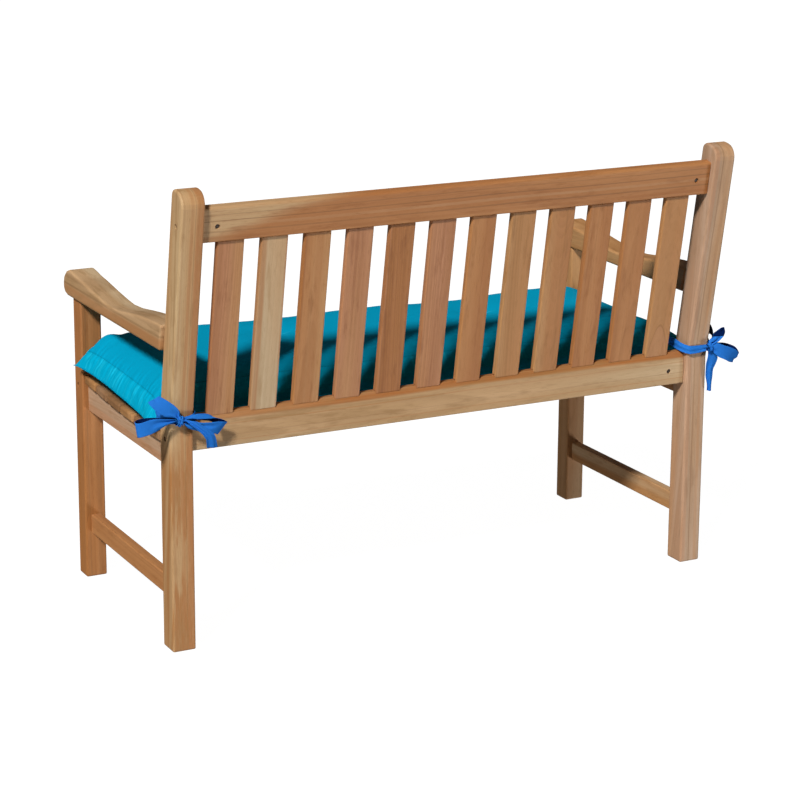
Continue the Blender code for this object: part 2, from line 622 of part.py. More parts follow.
def ribbon_shape(stations, steps=3, thickness=RIBBON):
    """A closed strip swept through the stations."""
    rows = smooth_stations(stations, steps)
    middles = [Vector(r[:3]) for r in rows]
    widths = [Vector(r[3:]) for r in rows]
    shape = bmesh.new()
    rings = []
    for i, (middle, half) in enumerate(zip(middles, widths)):
        ahead = middles[min(i + 1, len(rows) - 1)]
        behind = middles[max(i - 1, 0)]
        normal = (ahead - behind).cross(half).normalized() * (thickness / 2.0)
        rings.append([shape.verts.new(middle + half + normal),
                      shape.verts.new(middle - half + normal),
                      shape.verts.new(middle - half - normal),
                      shape.verts.new(middle + half - normal)])
    for a, b in zip(rings, rings[1:]):
        for i in range(4):
            j = (i + 1) % 4
            shape.faces.new((a[i], a[j], b[j], b[i]))
    shape.faces.new(rings[0][::-1])
    shape.faces.new(rings[-1])
    bmesh.ops.recalc_face_normals(shape, faces=shape.faces)
    return shape


def knot_shape(centre, radii):
    """The small hard knot that all of a tie's strips run into."""
    shape = bmesh.new()
    bmesh.ops.create_uvsphere(shape, u_segments=14, v_segments=8, radius=1.0)
    for vert in shape.verts:
        vert.co = Vector(centre) + Vector(c * r for c, r in zip(vert.co, radii))
    return shape


def build_tie(name, centre, strips):
    """One tie: the knot with every strip of ribbon united to it."""
    knot = add_object(name, knot_shape(centre, KNOT_RADII), TIE, 0.6)
    for index, strip in enumerate(strips):
        shape = ribbon_shape(strip)
        bmesh.ops.translate(shape, vec=SHIFT, verts=shape.verts)
        mesh = bpy.data.meshes.new("%s_strip_%d" % (name, index))
        shape.to_mesh(mesh)
        shape.free()
        piece = bpy.data.objects.new(mesh.name, mesh)
        bpy.context.scene.collection.objects.link(piece)
        piece.hide_render = True
        piece.display_type = 'WIRE'
        join = knot.modifiers.new("strip_%d" % index, 'BOOLEAN')
        join.operation = 'UNION'
        join.solver = 'EXACT'
        join.use_self = True
        join.object = piece


def build_ties():
    build_tie("tie_left", LEFT_KNOT,
              (LEFT_BAND, LEFT_LOOP_OUT, LEFT_LOOP_IN, LEFT_TAIL_UP, LEFT_TAIL_DOWN))
    build_tie("tie_right", RIGHT_KNOT,
              (RIGHT_BAND, RIGHT_LOOP_OUT, RIGHT_LOOP_FORE, RIGHT_TAIL_UP, RIGHT_TAIL_DOWN))


def main():
    for old in list(bpy.data.objects):
        bpy.data.objects.remove(old, do_unlink=True)
    build_bench()
    build_cushion()
    build_ties()


main()
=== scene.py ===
# %% [markdown]
# # A bench cushion tied to a garden bench
# A filled turquoise cushion lies on a slatted teak bench, seen from behind, and is held by
# two blue ribbons, tied in bows round the rear posts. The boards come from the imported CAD
# model and keep their shape; this lesson gives them their grain, and makes the cushion,
# the ribbons and the screws as new pieces in the same frame.

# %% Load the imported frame
import math
import random

import bmesh
import bpy
import numpy as np
from mathutils import Matrix, Vector


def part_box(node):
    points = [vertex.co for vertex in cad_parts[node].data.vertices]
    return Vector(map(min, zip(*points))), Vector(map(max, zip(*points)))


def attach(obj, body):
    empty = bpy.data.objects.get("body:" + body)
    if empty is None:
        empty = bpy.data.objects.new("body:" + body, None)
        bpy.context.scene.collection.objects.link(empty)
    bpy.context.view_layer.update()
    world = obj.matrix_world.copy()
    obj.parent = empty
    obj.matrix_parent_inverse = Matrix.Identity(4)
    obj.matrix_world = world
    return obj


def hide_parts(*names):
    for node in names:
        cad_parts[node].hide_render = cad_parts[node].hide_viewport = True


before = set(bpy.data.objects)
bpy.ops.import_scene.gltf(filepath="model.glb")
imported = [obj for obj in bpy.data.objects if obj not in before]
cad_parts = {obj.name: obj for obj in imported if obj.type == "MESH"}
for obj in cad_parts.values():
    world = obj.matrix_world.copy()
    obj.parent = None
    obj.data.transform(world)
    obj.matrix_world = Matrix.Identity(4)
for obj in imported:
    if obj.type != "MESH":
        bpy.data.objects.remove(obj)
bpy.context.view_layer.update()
SHIFT = Vector((0.0065, 0.2363, 0.0))  # from the bench's own axes to the frame's origin

# %% [markdown]
# ## Camera
# The camera stands behind the bench, to its left and well above the top rail. Its turn,
# tilt and lens were solved from the legs, rails and posts. The picture is a part of a
# wider view whose middle lies higher, and the shift of the lens stands for that.

# %% Camera
EYE = Vector((2.2301, 4.2864, 1.732))
YAW, PITCH, ROLL = -0.4793, 0.2427, 0.0066
PHOTO_SIDE = 800  # pixels
FOCAL_PIXELS = 2431.9  # the lens, in pixels of the photograph
LENS_SHIFT = -0.1  # of the picture's side
SENSOR = 36.0

ahead = Vector((math.sin(YAW) * math.cos(PITCH), -math.cos(YAW) * math.cos(PITCH),
                -math.sin(PITCH)))
sideways = ahead.cross(Vector((0.0, 0.0, 1.0))).normalized()
above = sideways.cross(ahead)
right = math.cos(ROLL) * sideways + math.sin(ROLL) * above
up = -math.sin(ROLL) * sideways + math.cos(ROLL) * above
camera_data = bpy.data.cameras.new("photo_camera")
camera_data.sensor_width = SENSOR
camera_data.lens = FOCAL_PIXELS / PHOTO_SIDE * SENSOR
camera_data.shift_y = LENS_SHIFT
camera_data.clip_start, camera_data.clip_end = 0.1, 60.0
camera = bpy.data.objects.new("photo_camera", camera_data)
bpy.context.scene.collection.objects.link(camera)
camera.matrix_world = Matrix.Translation(EYE) @ Matrix(
    (right, up, -ahead)).transposed().to_4x4()
bpy.context.scene.camera = camera
print("camera lens", round(camera_data.lens, 2), "mm")

# %% [markdown]
# ## Studio light
# One broad lamp stands high behind the bench's left end. It throws the soft band of the
# top rail's shadow over the cushion, and what passes between the slats lies in slanting
# patches behind it. A second lamp stands for the light that a pale floor throws back: it
# comes up from behind and from the right, and opens up the rear faces. A third, weak and
# wide, fills the left faces, and a dim surround does the rest. The floor is pale and
# mostly its own light.

# %% Lights and floor
SUNS = {  # heading of the light, strength, angle
    "key_lamp": ((-0.85, -0.74, -1.0), 3.35, 0.14),
    "bounce_lamp": ((1.0, -1.0, 0.9), 1.12, 0.3),
    "fill_lamp": ((-1.0, -0.25, 0.45), 0.42, 0.5),
}
SURROUND_LIGHT = 0.065  # what lights the bench
SURROUND_SEEN = 1.0  # what the camera sees behind it
FLOOR_HALF, FLOOR_Z = 14.0, -0.0004  # just under the feet
FLOOR_TONE, FLOOR_GLOW = (0.1, 0.1, 0.1), 0.99

for name, (heading, strength, angle) in SUNS.items():
    lamp = bpy.data.lights.new(name, 'SUN')
    lamp.energy, lamp.angle = strength, angle
    stand = bpy.data.objects.new(name, lamp)
    bpy.context.scene.collection.objects.link(stand)
    stand.rotation_euler = Vector(heading).to_track_quat('-Z', 'Y').to_euler()

world = bpy.data.worlds.new("studio")
bpy.context.scene.world = world
world.use_nodes = True
surround = world.node_tree.nodes["Background"]
path = world.node_tree.nodes.new("ShaderNodeLightPath")
seen = world.node_tree.nodes.new("ShaderNodeMix")
seen.data_type = 'FLOAT'
seen.inputs[2].default_value = SURROUND_LIGHT
seen.inputs[3].default_value = SURROUND_SEEN
world.node_tree.links.new(path.outputs["Is Camera Ray"], seen.inputs[0])
world.node_tree.links.new(seen.outputs[0], surround.inputs["Strength"])
surround.inputs["Color"].default_value = (1.0, 1.0, 1.0, 1.0)
bpy.context.scene.view_settings.view_transform = 'Standard'
print(len(SUNS), "sun lamps and a dim surround")


# %% [markdown]
# ## Writing shader maths as sums
# A finish is a small network of nodes. To keep it readable, a socket is wrapped in a
# class that knows plus, minus and times. Every other node comes from one method, which
# takes its kind, its settings and what goes into its sockets. The floor uses it first.

# %% Shader helper
class Tone:
    """A node's output, for sums."""

    def __init__(self, finish, socket):
        self.finish, self.socket = finish, socket

    def sum(self, operation, *values):
        return self.finish.node("Math", {"operation": operation}, dict(enumerate(values)))

    def __add__(self, other):
        return self.sum('ADD', self, other)

    __radd__ = __add__

    def __sub__(self, other):
        return self.sum('SUBTRACT', self, other)

    def __rsub__(self, other):
        return self.sum('SUBTRACT', other, self)

    def __mul__(self, other):
        return self.sum('MULTIPLY', self, other)

    def apply(self, operation):
        return self.sum(operation, self)


class Finish:
    """One material, and ways of adding nodes to it."""

    def __init__(self, name, roughness):
        self.material = bpy.data.materials.new(name)
        self.material.use_nodes = True
        self.tree = self.material.node_tree
        self.shader = self.tree.nodes["Principled BSDF"]
        self.shader.inputs["Roughness"].default_value = roughness

    def fill(self, socket, value):
        if isinstance(value, Tone):
            self.tree.links.new(value.socket, socket)
        elif socket.type == 'RGBA':
            socket.default_value = (*value, 1.0)
        else:
            socket.default_value = value

    def node(self, kind, settings=None, values=None, out=0):
        made = self.tree.nodes.new("ShaderNode" + kind)
        for key, value in (settings or {}).items():
            setattr(made, key, value)
        for key, value in (values or {}).items():
            self.fill(made.inputs[key], value)
        return Tone(self, made.outputs[out])

    def parts(self, vector):
        """The x, y and z of a vector."""
        return [self.node("SeparateXYZ", {}, {0: vector}, out=axis) for axis in range(3)]

    def mix(self, share, first, second):
        return self.node("Mix", {"data_type": 'RGBA'}, {0: share, 6: first, 7: second},
                         out=2)

    def noise(self, vector, scale, detail, roughness=0.5):
        stretched = self.node("VectorMath", {"operation": 'MULTIPLY'},
                              {0: vector, 1: scale})
        return self.node("TexNoise", {}, {"Vector": stretched, "Scale": 1.0,
                                          "Detail": detail, "Roughness": roughness})

    def step(self, value, low, high):
        """0 below low, 1 above high, smooth between them."""
        return self.node("MapRange", {"interpolation_type": 'SMOOTHSTEP'},
                         {0: value, 1: low, 2: high, 3: 0.0, 4: 1.0})

    def bump(self, height, distance, strength):
        return self.node("Bump", {}, {"Height": height, "Distance": distance,
                                      "Strength": strength})

    def set(self, name, value):
        self.fill(self.shader.inputs[name], value)
        return self


def paint(code):
    """A colour as it is written for a screen, to the linear numbers of a shader."""
    parts = [int(code[i:i + 2], 16) / 255.0 for i in (0, 2, 4)]
    return tuple(c / 12.92 if c < 0.04045 else ((c + 0.055) / 1.055) ** 2.4 for c in parts)


floor_finish = Finish("pale_floor", 0.9)
floor_finish.set("Base Color", FLOOR_TONE)
floor_finish.set("Emission Color", (1.0, 1.0, 1.0)).set("Emission Strength", FLOOR_GLOW)
shape = bmesh.new()
bmesh.ops.create_grid(shape, x_segments=2, y_segments=2, size=FLOOR_HALF)
bmesh.ops.translate(shape, vec=(0.0, 0.0, FLOOR_Z), verts=shape.verts)
floor_mesh = bpy.data.meshes.new("floor")
shape.to_mesh(floor_mesh)
shape.free()
floor_mesh.materials.append(floor_finish.material)
floor = bpy.data.objects.new("floor", floor_mesh)
bpy.context.scene.collection.objects.link(floor)
floor.visible_diffuse = False
floor.visible_glossy = False
floor.visible_shadow = False  # lets the lamps through from below
print("the floor is in place")

# %% [markdown]
# ## Teak
# A board is a stick cut out of a tree, so its figure is one solid pattern: thin cones of
# yearly growth round a heart that lies somewhere beside the board. Where a face cuts
# them squarely they show as straight lines, and where it grazes them they show as
# arches. The pattern reads the board's own place, so each face of it, and its ends,
# agree with each other. Every board gets its own heart, lean and tone, as no two boards
# of a real bench come from the same plank. Marks that stand out on one board are
# listed in tables.

# %% Teak finish
TONES = {  # pale wood; for whole boards also darker wood, and the lines between them
    "pale": ("d8be98", "c8a982", "ae8456"),
    "sand": ("cea77c", "bc9568", "987244"),
    "honey": ("d8b88a", "c8a274", "a87c4c"),
    "tan": ("ca9764", "b88350", "956334"),
    "orange": ("c38854", "b37644", "955a2b"),
    "pink": ("c68b62", "b47a50", "945a37"),
    "rosy": ("ceae92", "ba987a", "a27a58"),
    "rust": ("b87a48", "a6683a", "885028"),
    "russet": ("b0743e",), "amber": ("a2602c",), "umber": ("8a6038",),
    "brown": ("ac8460", "986c48", "745232"),
}
RAKE = math.radians(9.94)  # how far the back leans
GRAIN_TURNS = {  # turns of the pattern, whose fibres run along its z
    "up": (math.radians(5.0), 0.0, 0.0), "lean": (RAKE, 0.0, 0.0),
    "plumb": (0.0, 0.0, 0.0), "deep": (math.radians(90.0), 0.0, 0.0),
    "long": (0.0, math.radians(-90.0), 0.0)}
FIGURES = {  # scale across, through and along, detail, roughness
    "strong": ((18.0, 18.0, 0.9), 2.0), "broad": ((24.0, 24.0, 1.1), 2.0, 0.6),
    "fibre": ((420.0, 420.0, 9.0), 3.0, 0.6), "pores": ((1100.0, 1100.0, 55.0), 1.0),
    "streak": ((75.0, 75.0, 1.0), 3.0, 0.6), "band": ((13.0, 13.0, 0.5), 1.0),
    "mottle": ((70.0, 70.0, 11.0), 4.0, 0.6)}
STREAKS = {  # place and half width across the board in metres, tone, strength
    "rear_post_left": ((-0.016, 0.0085, "rust", 0.9), (0.0175, 0.0014, "rust", 0.5),
                       (-0.006, 0.0009, "umber", 0.35), (0.0005, 0.0035, "rust", 0.55)),
    "rear_post_right": ((0.005, 0.0014, "umber", 0.55), (0.019, 0.006, "pink", 0.55),
                        (-0.01, 0.004, "orange", 0.5)),
    "lower_back_rail": ((-0.03, 0.0085, "russet", 0.9), (-0.03, 0.0085, "amber", 0.8),
                        (-0.012, 0.0012, "rust", 0.5), (0.01, 0.0009, "brown", 0.5),
                        (0.021, 0.001, "rust", 0.45)),
    "top_rail": ((-0.006, 0.0012, "umber", 0.7), (0.015, 0.0016, "umber", 0.6),
                 (0.004, 0.003, "sand", 0.3), (-0.018, 0.001, "umber", 0.5),
                 (-0.033, 0.005, "amber", 0.3), (0.026, 0.003, "amber", 0.5)),
    "arm_rest_left": ((-0.015, 0.005, "umber", 0.45), (0.002, 0.0024, "umber", 0.7),
                      (0.016, 0.012, "rust", 0.75), (0.029, 0.0016, "umber", 0.5)),
    "side_seat_rail_left": ((0.02, 0.01, "pink", 0.6),),
    "front_leg_left": ((-0.01, 0.006, "umber", 0.45), (0.012, 0.0016, "umber", 0.5)),
    "back_slat_01": ((-0.015, 0.006, "orange", 0.6),),
    "back_slat_02": ((0.024, 0.0085, "rust", 0.9), (-0.0245, 0.0022, "pink", 0.85)),
    "back_slat_03": ((0.0235, 0.0035, "rust", 0.7), (-0.006, 0.008, "rust", 0.45)),
    "back_slat_05": ((0.0, 0.009, "rust", 0.55), (0.024, 0.003, "pink", 0.6)),
    "back_slat_07": ((-0.01, 0.005, "rust", 0.4),),
    "back_slat_10": ((0.012, 0.005, "rust", 0.45),),
    "back_slat_11": ((-0.015, 0.006, "rust", 0.45),),
}
NEAR_HEARTS = {"back_slat_12": (0.02, 0.21), "back_slat_09": (0.026, -0.16)}
ARCHES = {"back_slat_12": (-0.105, 120.0)}  # height of the peak, steepness
PALE_ENDS = {"top_rail": (4.0, 0.3, "honey", 0.75)}  # slant, start, tone, strength
DARK_FEET = ("rear_post_left", "front_leg_left")
FOOT_START, FOOT_END = 0.03, -0.08  # above and below the board's middle


def growth(finish, node, grain, chance):
    """Ways through a board, slow noises that bend its lines, and its dark late wood."""
    low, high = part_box(node)
    place = finish.node("TexCoord", out="Object")
    centred = finish.node("VectorMath", {"operation": 'SUBTRACT'},
                          {0: place, 1: (low + high) / 2.0})
    slide = chance.uniform(-3.0, 3.0)
    turned = finish.node("Mapping", {"vector_type": 'POINT'},
                         {"Vector": centred, "Rotation": GRAIN_TURNS[grain],
                          "Location": (0.0, 0.0, slide)})
    own = finish.node("VectorMath", {"operation": 'ADD'},
                      {0: turned, 1: [chance.uniform(-9.0, 9.0) for _ in range(3)]})
    across, deep, along = finish.parts(turned)
    bend = finish.noise(own, (5.0, 5.0, 1.3), 2.0) - 0.5
    sway = finish.noise(own, (14.0, 14.0, 4.0), 3.0) - 0.5
    angle = chance.uniform(0.0, 2.0 * math.pi)
    away, lean = chance.uniform(0.05, 0.16), chance.uniform(-0.05, 0.05)
    if node in NEAR_HEARTS:
        angle, (away, lean) = -math.pi / 2.0, NEAR_HEARTS[node]
    side = across - away * math.cos(angle) + bend * 0.035
    front = deep - away * math.sin(angle) + sway * 0.006
    heart = (side * side + front * front).apply('SQRT')
    cone = heart + along * lean
    loose = finish.noise(finish.node("CombineXYZ", {}, {0: cone}), (38.0, 1.0, 1.0), 1.0)
    years = cone * chance.uniform(130.0, 210.0) + loose * 5.0
    year = years.apply('FRACT')
    late = finish.step(year, 0.15, 0.9) * (1.0 - finish.step(year, 0.93, 1.0))
    return own, (across, deep, along - slide, bend, sway), late


def own_marks(finish, node, grain, ways, figure, wood, line):
    """Paint the marks that the tables list for a board."""
    across, deep, level, bend, sway = ways
    if node in DARK_FEET:
        foot = 1.0 - finish.step(level + bend * 0.2, FOOT_END, FOOT_START)
        patch = finish.step(figure["streak"], 0.42, 0.54) * 0.5
        wood = finish.mix(foot * (0.42 + patch), wood, paint(TONES["russet"][0]))
    if node in PALE_ENDS:
        slant, begin, tint, strength = PALE_ENDS[node]
        end = finish.step(level - across * slant + bend * 0.5, begin, begin + 0.12)
        wood = finish.mix(end * strength, wood, paint(TONES[tint][0]))
    wavy = (deep if grain == "deep" else across) + bend * 0.01 + sway * 0.003
    for middle, half, tint, strength in STREAKS.get(node, ()):
        beside = (wavy - middle).apply('ABSOLUTE')
        inside = 1.0 - finish.step(beside, half * 0.55, half * 1.25)
        patchy = 0.45 + finish.step(figure["broad"], 0.35, 0.6) * 0.55
        wood = finish.mix(inside * patchy * strength, wood, paint(TONES[tint][0]))
    if node in ARCHES:
        peak, steep = ARCHES[node]
        under = across * across * steep + level + sway * 0.012 - peak
        arch = 1.0 - finish.step((under + 0.002).apply('ABSOLUTE'), 0.0012, 0.0045)
        inside = 1.0 - finish.step(under, -0.004, 0.0)
        wood = finish.mix(inside * 0.35, wood, paint(TONES["pink"][0]))
        wood = finish.mix(arch * 0.5, wood, line)
    return wood


def teak(node, grain, tone, other, chance):
    """Teak for one board: grain names which way its fibres run."""
    finish = Finish("teak_" + node, 0.55)
    light, dark, line = (paint(code) for code in TONES[tone])
    own, ways, late = growth(finish, node, grain, chance)
    figure = {name: finish.noise(own, *scales) for name, scales in FIGURES.items()}
    fibre, pores = figure["fibre"], finish.step(figure["pores"], 0.6, 0.72)

    wood = finish.mix(finish.step(figure["broad"], 0.36, 0.64), light, dark)
    wood = finish.mix(finish.step(figure["band"], 0.44, 0.6) * 0.75, wood,
                      paint(TONES[other][0]))
    wood = own_marks(finish, node, grain, ways, figure, wood, line)
    strong = finish.step(figure["strong"], 0.42, 0.68)
    wood = finish.mix(late * (0.06 + strong * 0.24), wood, line)
    wood = finish.mix(finish.step(figure["streak"], 0.58, 0.74) * 0.48, wood, line)
    wood = finish.mix(finish.step(figure["mottle"], 0.52, 0.72) * 0.5, wood, line)
    wood = finish.mix(finish.step(fibre, 0.35, 0.7) * 0.22, wood, dark)
    wood = finish.mix(pores * 0.3, wood, line)
    finish.set("Base Color", wood)
    finish.set("Roughness", 0.5 + fibre * 0.16)
    relief = fibre * 0.5 - late * 0.35 - pores * 0.5
    finish.set("Normal", finish.bump(relief, 0.0004, 0.5))
    finish.set("Specular IOR Level", 0.32)
    return finish.material


# %% [markdown]
# ## Which board is cut from which plank
# Posts and legs carry their grain upright, arm rests and side rails from front to back,
# and long rails and seat slats along the bench. Some back slats are pinkish, some orange,
# and one is as pale as straw. The second tone shows in bands.

# %% Dress the boards
SLAT_TONES = (("pink", "tan"), ("pale", "tan"), ("orange", "tan"), ("pink", "tan"),
              ("rust", "russet"), ("pink", "orange"), ("orange", "rust"), ("tan", "orange"),
              ("tan", "rust"), ("orange", "rust"), ("orange", "rust"), ("tan", "orange"))
SEAT_TONES = ("brown", "tan", "brown")  # taken in turn
SEAT_SLATS = 7
BOARDS = {
    "rear_post_left": ("up", "honey", "tan"), "rear_post_right": ("up", "rosy", "tan"),
    "front_leg_left": ("plumb", "orange", "rust"), "front_leg_right": ("plumb", "tan", "sand"),
    "arm_rest_left": ("deep", "sand", "pale"), "arm_rest_right": ("deep", "tan", "orange"),
    "side_seat_rail_left": ("deep", "tan", "rosy"),
    "side_seat_rail_right": ("deep", "tan", "brown"),
    "side_stretcher_left": ("deep", "orange", "brown"),
    "side_stretcher_right": ("deep", "tan", "pale"),
    "top_rail": ("long", "orange", "rust"), "lower_back_rail": ("long", "sand", "pale"),
    "front_seat_rail": ("long", "tan", "pale"),
}
for index, (tone, other) in enumerate(SLAT_TONES):
    BOARDS["back_slat_%02d" % (index + 1)] = ("lean", tone, other)
for index in range(SEAT_SLATS):
    BOARDS["seat_slat_%d" % (index + 1)] = ("long", SEAT_TONES[index % 3], "umber")

chance = random.Random(11)
for node, (grain, tone, other) in BOARDS.items():
    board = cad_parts[node]
    board.data.materials.clear()
    board.data.materials.append(teak(node, grain, tone, other, chance))
print(len(BOARDS), "boards dressed in teak")


# %% [markdown]
# ## Small helpers for new pieces
# A new piece is worked out as a bmesh, then written to a mesh whose object stays at the
# origin, so that the exported model keeps its place and its patterns don't slide.

# %% Piece helpers
def add_piece(name, shape, material, smooth=True):
    """Write a bmesh to a new object of the bench."""
    mesh = bpy.data.meshes.new(name)
    shape.to_mesh(mesh)
    shape.free()
    mesh.materials.append(material)
    if smooth:
        mesh.polygons.foreach_set("use_smooth", [True] * len(mesh.polygons))
    piece = bpy.data.objects.new(name, mesh)
    bpy.context.scene.collection.objects.link(piece)
    return piece


def smooth_stations(stations, steps):
    """A smooth curve through rows of numbers."""
    points = np.array([stations[0], *stations, stations[-1]])
    t = np.linspace(0.0, 1.0, steps, endpoint=False)[:, None]
    rows = [0.5 * (2 * b + (c - a) * t + (2 * a - 5 * b + 4 * c - d) * t * t
                   + (3 * b - a - 3 * c + d) * t ** 3)
            for a, b, c, d in zip(points, points[1:], points[2:], points[3:])]
    return np.vstack(rows + [points[-1:]])


# %% [markdown]
# ## Cushion shape
# The cushion is a flat sewn bag with a soft filling: full in the middle, thin at its
# edge, with a stitched seam a finger's width in from the edge. Its shape is given by how
# fast the skin falls from the crown to the edge on each side. A grid is made for each
# skin, and the two rims are merged. Places are in the bench's own axes, from the floor
# between the rear faces of its posts.

# %% Cushion shape
SEAT_SLAT = 0.0185  # thickness
SEAT_SLAT_ROWS = (  # front edge, rear edge, underside's height at both
    (-0.4665, -0.4095, 0.4165, 0.4116), (-0.4035, -0.344, 0.4111, 0.4069),
    (-0.338, -0.275, 0.4065, 0.4037), (-0.269, -0.202, 0.4035, 0.402),
    (-0.196, -0.133, 0.4018, 0.4018), (-0.127, -0.064, 0.402, 0.4032))
SEAT_TOPS = [place for front, rear, low, high in SEAT_SLAT_ROWS
             for place in ((front, low + SEAT_SLAT), (rear, high + SEAT_SLAT))]
REST_GAP = 0.0009  # between the cushion and the slats
EDGE_Z = ((-0.455, 0.46), (-0.3, 0.4535), (-0.15, 0.444), (-0.05, 0.441))
CUSHION_MID_Y = -0.258
CUSHION_HALF = (0.6105, 0.1955)  # half length and depth halfway along a side
CORNER_REACH = (0.0135, 0.008)  # how much further the corners stand out
CORNER_ENDS = (0.965, 0.988)  # where their reach stops growing
CROWN_Z = 0.5262
FLAT_END_DROP = 0.006  # the crown is this much lower at the -X end
LEFT_SLOPE = (0.073, 2.0)  # how the +X end slopes down: length and power
RIGHT_SLOPE = (0.165, 2.25)  # the -X end is flatter
REAR_SLOPE = (0.066, 2.4)
FRONT_SLOPE = (0.047, 2.4)
UNDER_END_SLOPE = (0.072, 0.7)
UNDER_SIDE_SLOPE = (0.04, 1.6)
CORNER_FILL = 3.8  # how fully the corners are filled
DIP_X, DIP_WIDTH, DIP_DEPTH = -0.245, 0.12, 0.005
SEAM_IN = 0.021
TUFTS = ((0.245, -0.3), (-0.225, -0.3))
TUFT_DEPTH, TUFT_RADIUS = 0.0085, 0.045
REAR_START = 0.72  # share of the half depth
REAR_TUCK = 0.009  # how far the rear edge curls in over the last slat
TUCK_ENDS = (0.94, 0.85)  # shares of the half length
CREST_Y, CREST_WIDTH = -0.415, 0.05  # the crest near the front edge
CREST_LIFT = ((-0.56, 0.002), (-0.528, 0.003), (-0.425, 0.001), (-0.33, 0.001),
              (-0.236, -0.003), (-0.134, -0.004), (-0.042, -0.001), (0.063, -0.001),
              (0.16, -0.003), (0.25, -0.002), (0.36, 0.002), (0.521, 0.003),
              (0.54, 0.002), (0.555, 0.005), (0.568, 0.007), (0.575, 0.008), (0.585, 0.003),
              (0.6, 0.0))
RIM_BAND, RIM_LINES = 0.024, 9  # the grid is close near the edge
CELLS = (118, 76)  # inside it


def between(table, value):
    """Straight interpolation in a table of (position, result)."""
    if value <= table[0][0]:
        return table[0][1]
    for (a, low), (b, high) in zip(table, table[1:]):
        if value <= b:
            return low + (high - low) * (value - a) / (b - a)
    return table[-1][1]


def ramp(value, start, end):
    """0 at start, 1 at end, straight between them."""
    return min(max((value - start) / (end - start), 0.0), 1.0)


def fall(distance, slope):
    """1 at the edge, 0 past the slope's length, steepest at the edge."""
    length, power = slope
    return (1.0 - ramp(distance, 0.0, length)) ** power


def bell(distance, width):
    """1 in the middle, falling off smoothly."""
    return math.exp(-(distance / width) ** 2)


def upper_place(u, v):
    """Place of the upper skin before its tufts, and the distances from end and side."""
    half_x = CUSHION_HALF[0] + CORNER_REACH[0] * min(abs(v), CORNER_ENDS[0]) ** 4
    half_y = CUSHION_HALF[1] + CORNER_REACH[1] * min(abs(u), CORNER_ENDS[1]) ** 12
    tuck = REAR_TUCK * ramp(v, REAR_START, 1.0) * ramp(abs(u), *TUCK_ENDS)
    x, y = u * half_x, CUSHION_MID_Y + v * half_y - tuck
    end, side = half_x * (1.0 - abs(u)), half_y * (1.0 - abs(v))
    edge_z = between(EDGE_Z, y)
    low_end = fall(end, LEFT_SLOPE if u > 0 else RIGHT_SLOPE)
    low_side = fall(side + tuck, REAR_SLOPE if v > 0 else FRONT_SLOPE)
    low = (low_end ** CORNER_FILL + low_side ** CORNER_FILL) ** (1.0 / CORNER_FILL)
    crown = CROWN_Z - FLAT_END_DROP * ramp(-u, 0.3, 1.0)
    crown -= DIP_DEPTH * bell(x - DIP_X, DIP_WIDTH)
    crown += between(CREST_LIFT, x) * bell(y - CREST_Y, CREST_WIDTH)
    return x, y, edge_z + (crown - edge_z) * (1.0 - min(low, 1.0)), end, side


def cushion_point(u, v, upper):
    """A point of the upper or lower skin, and its distances from end and side."""
    x, y, z, end, side = upper_place(u, v)
    if upper:
        for tx, ty in TUFTS:
            z -= TUFT_DEPTH * bell(math.hypot(x - tx, y - ty), TUFT_RADIUS)
    else:
        _, rim_y, rim_z, _, _ = upper_place(u, 1.0)
        rear = ramp(v, REAR_START, 1.0) ** 2
        rim = between(EDGE_Z, y) + (rim_z - between(EDGE_Z, rim_y)) * rear
        rest = between(SEAT_TOPS, y) + REST_GAP
        lift = fall(end, UNDER_END_SLOPE) + fall(side, UNDER_SIDE_SLOPE)
        z = rest + (rim - rest) * min(lift, 1.0)
    return Vector((x, y, z)) + SHIFT, end, side


def spread(half, cells):
    """Lines of a grid from -1 to 1: close together out to the seam, wider inside."""
    band = 1.0 - RIM_BAND / half
    lines = list(np.linspace(-1.0, -band, RIM_LINES))
    lines += list(np.linspace(-band, band, cells + 1))[1:-1]
    return lines + list(np.linspace(band, 1.0, RIM_LINES))


COLUMNS, ROWS = spread(CUSHION_HALF[0], CELLS[0]), spread(CUSHION_HALF[1], CELLS[1])


def cushion_skin(upper):
    """One skin as a grid, with its cloth laid out flat in metres as its UV map."""
    skin = bmesh.new()
    wide, deep = len(COLUMNS) - 1, len(ROWS) - 1
    bmesh.ops.create_grid(skin, x_segments=wide, y_segments=deep, size=1.0)
    cloth = skin.loops.layers.uv.new("cloth")
    near = skin.verts.layers.float.new("near_edge")
    run = skin.verts.layers.float.new("seam_run")
    for vert in skin.verts:
        u = COLUMNS[round((vert.co.x + 1.0) / 2.0 * wide)]
        v = ROWS[round((vert.co.y + 1.0) / 2.0 * deep)]
        vert.co, end, side = cushion_point(u, v, upper)
        vert[near] = min(end, side) if upper else -1.0
        vert[run] = v * CUSHION_HALF[1] if end < side else u * CUSHION_HALF[0] + 2.0
    for face in skin.faces:
        for loop in face.loops:
            loop[cloth].uv = (loop.vert.co.x, loop.vert.co.y)
    if not upper:
        bmesh.ops.reverse_faces(skin, faces=skin.faces)
    return skin


cover = cushion_skin(True)
under = cushion_skin(False)
under_mesh = bpy.data.meshes.new("under")
under.to_mesh(under_mesh)
under.free()
cover.from_mesh(under_mesh)
bpy.data.meshes.remove(under_mesh)
bmesh.ops.remove_doubles(cover, verts=cover.verts, dist=0.0002)
print("cushion:", len(cover.verts), "points,", len(cover.faces), "faces")
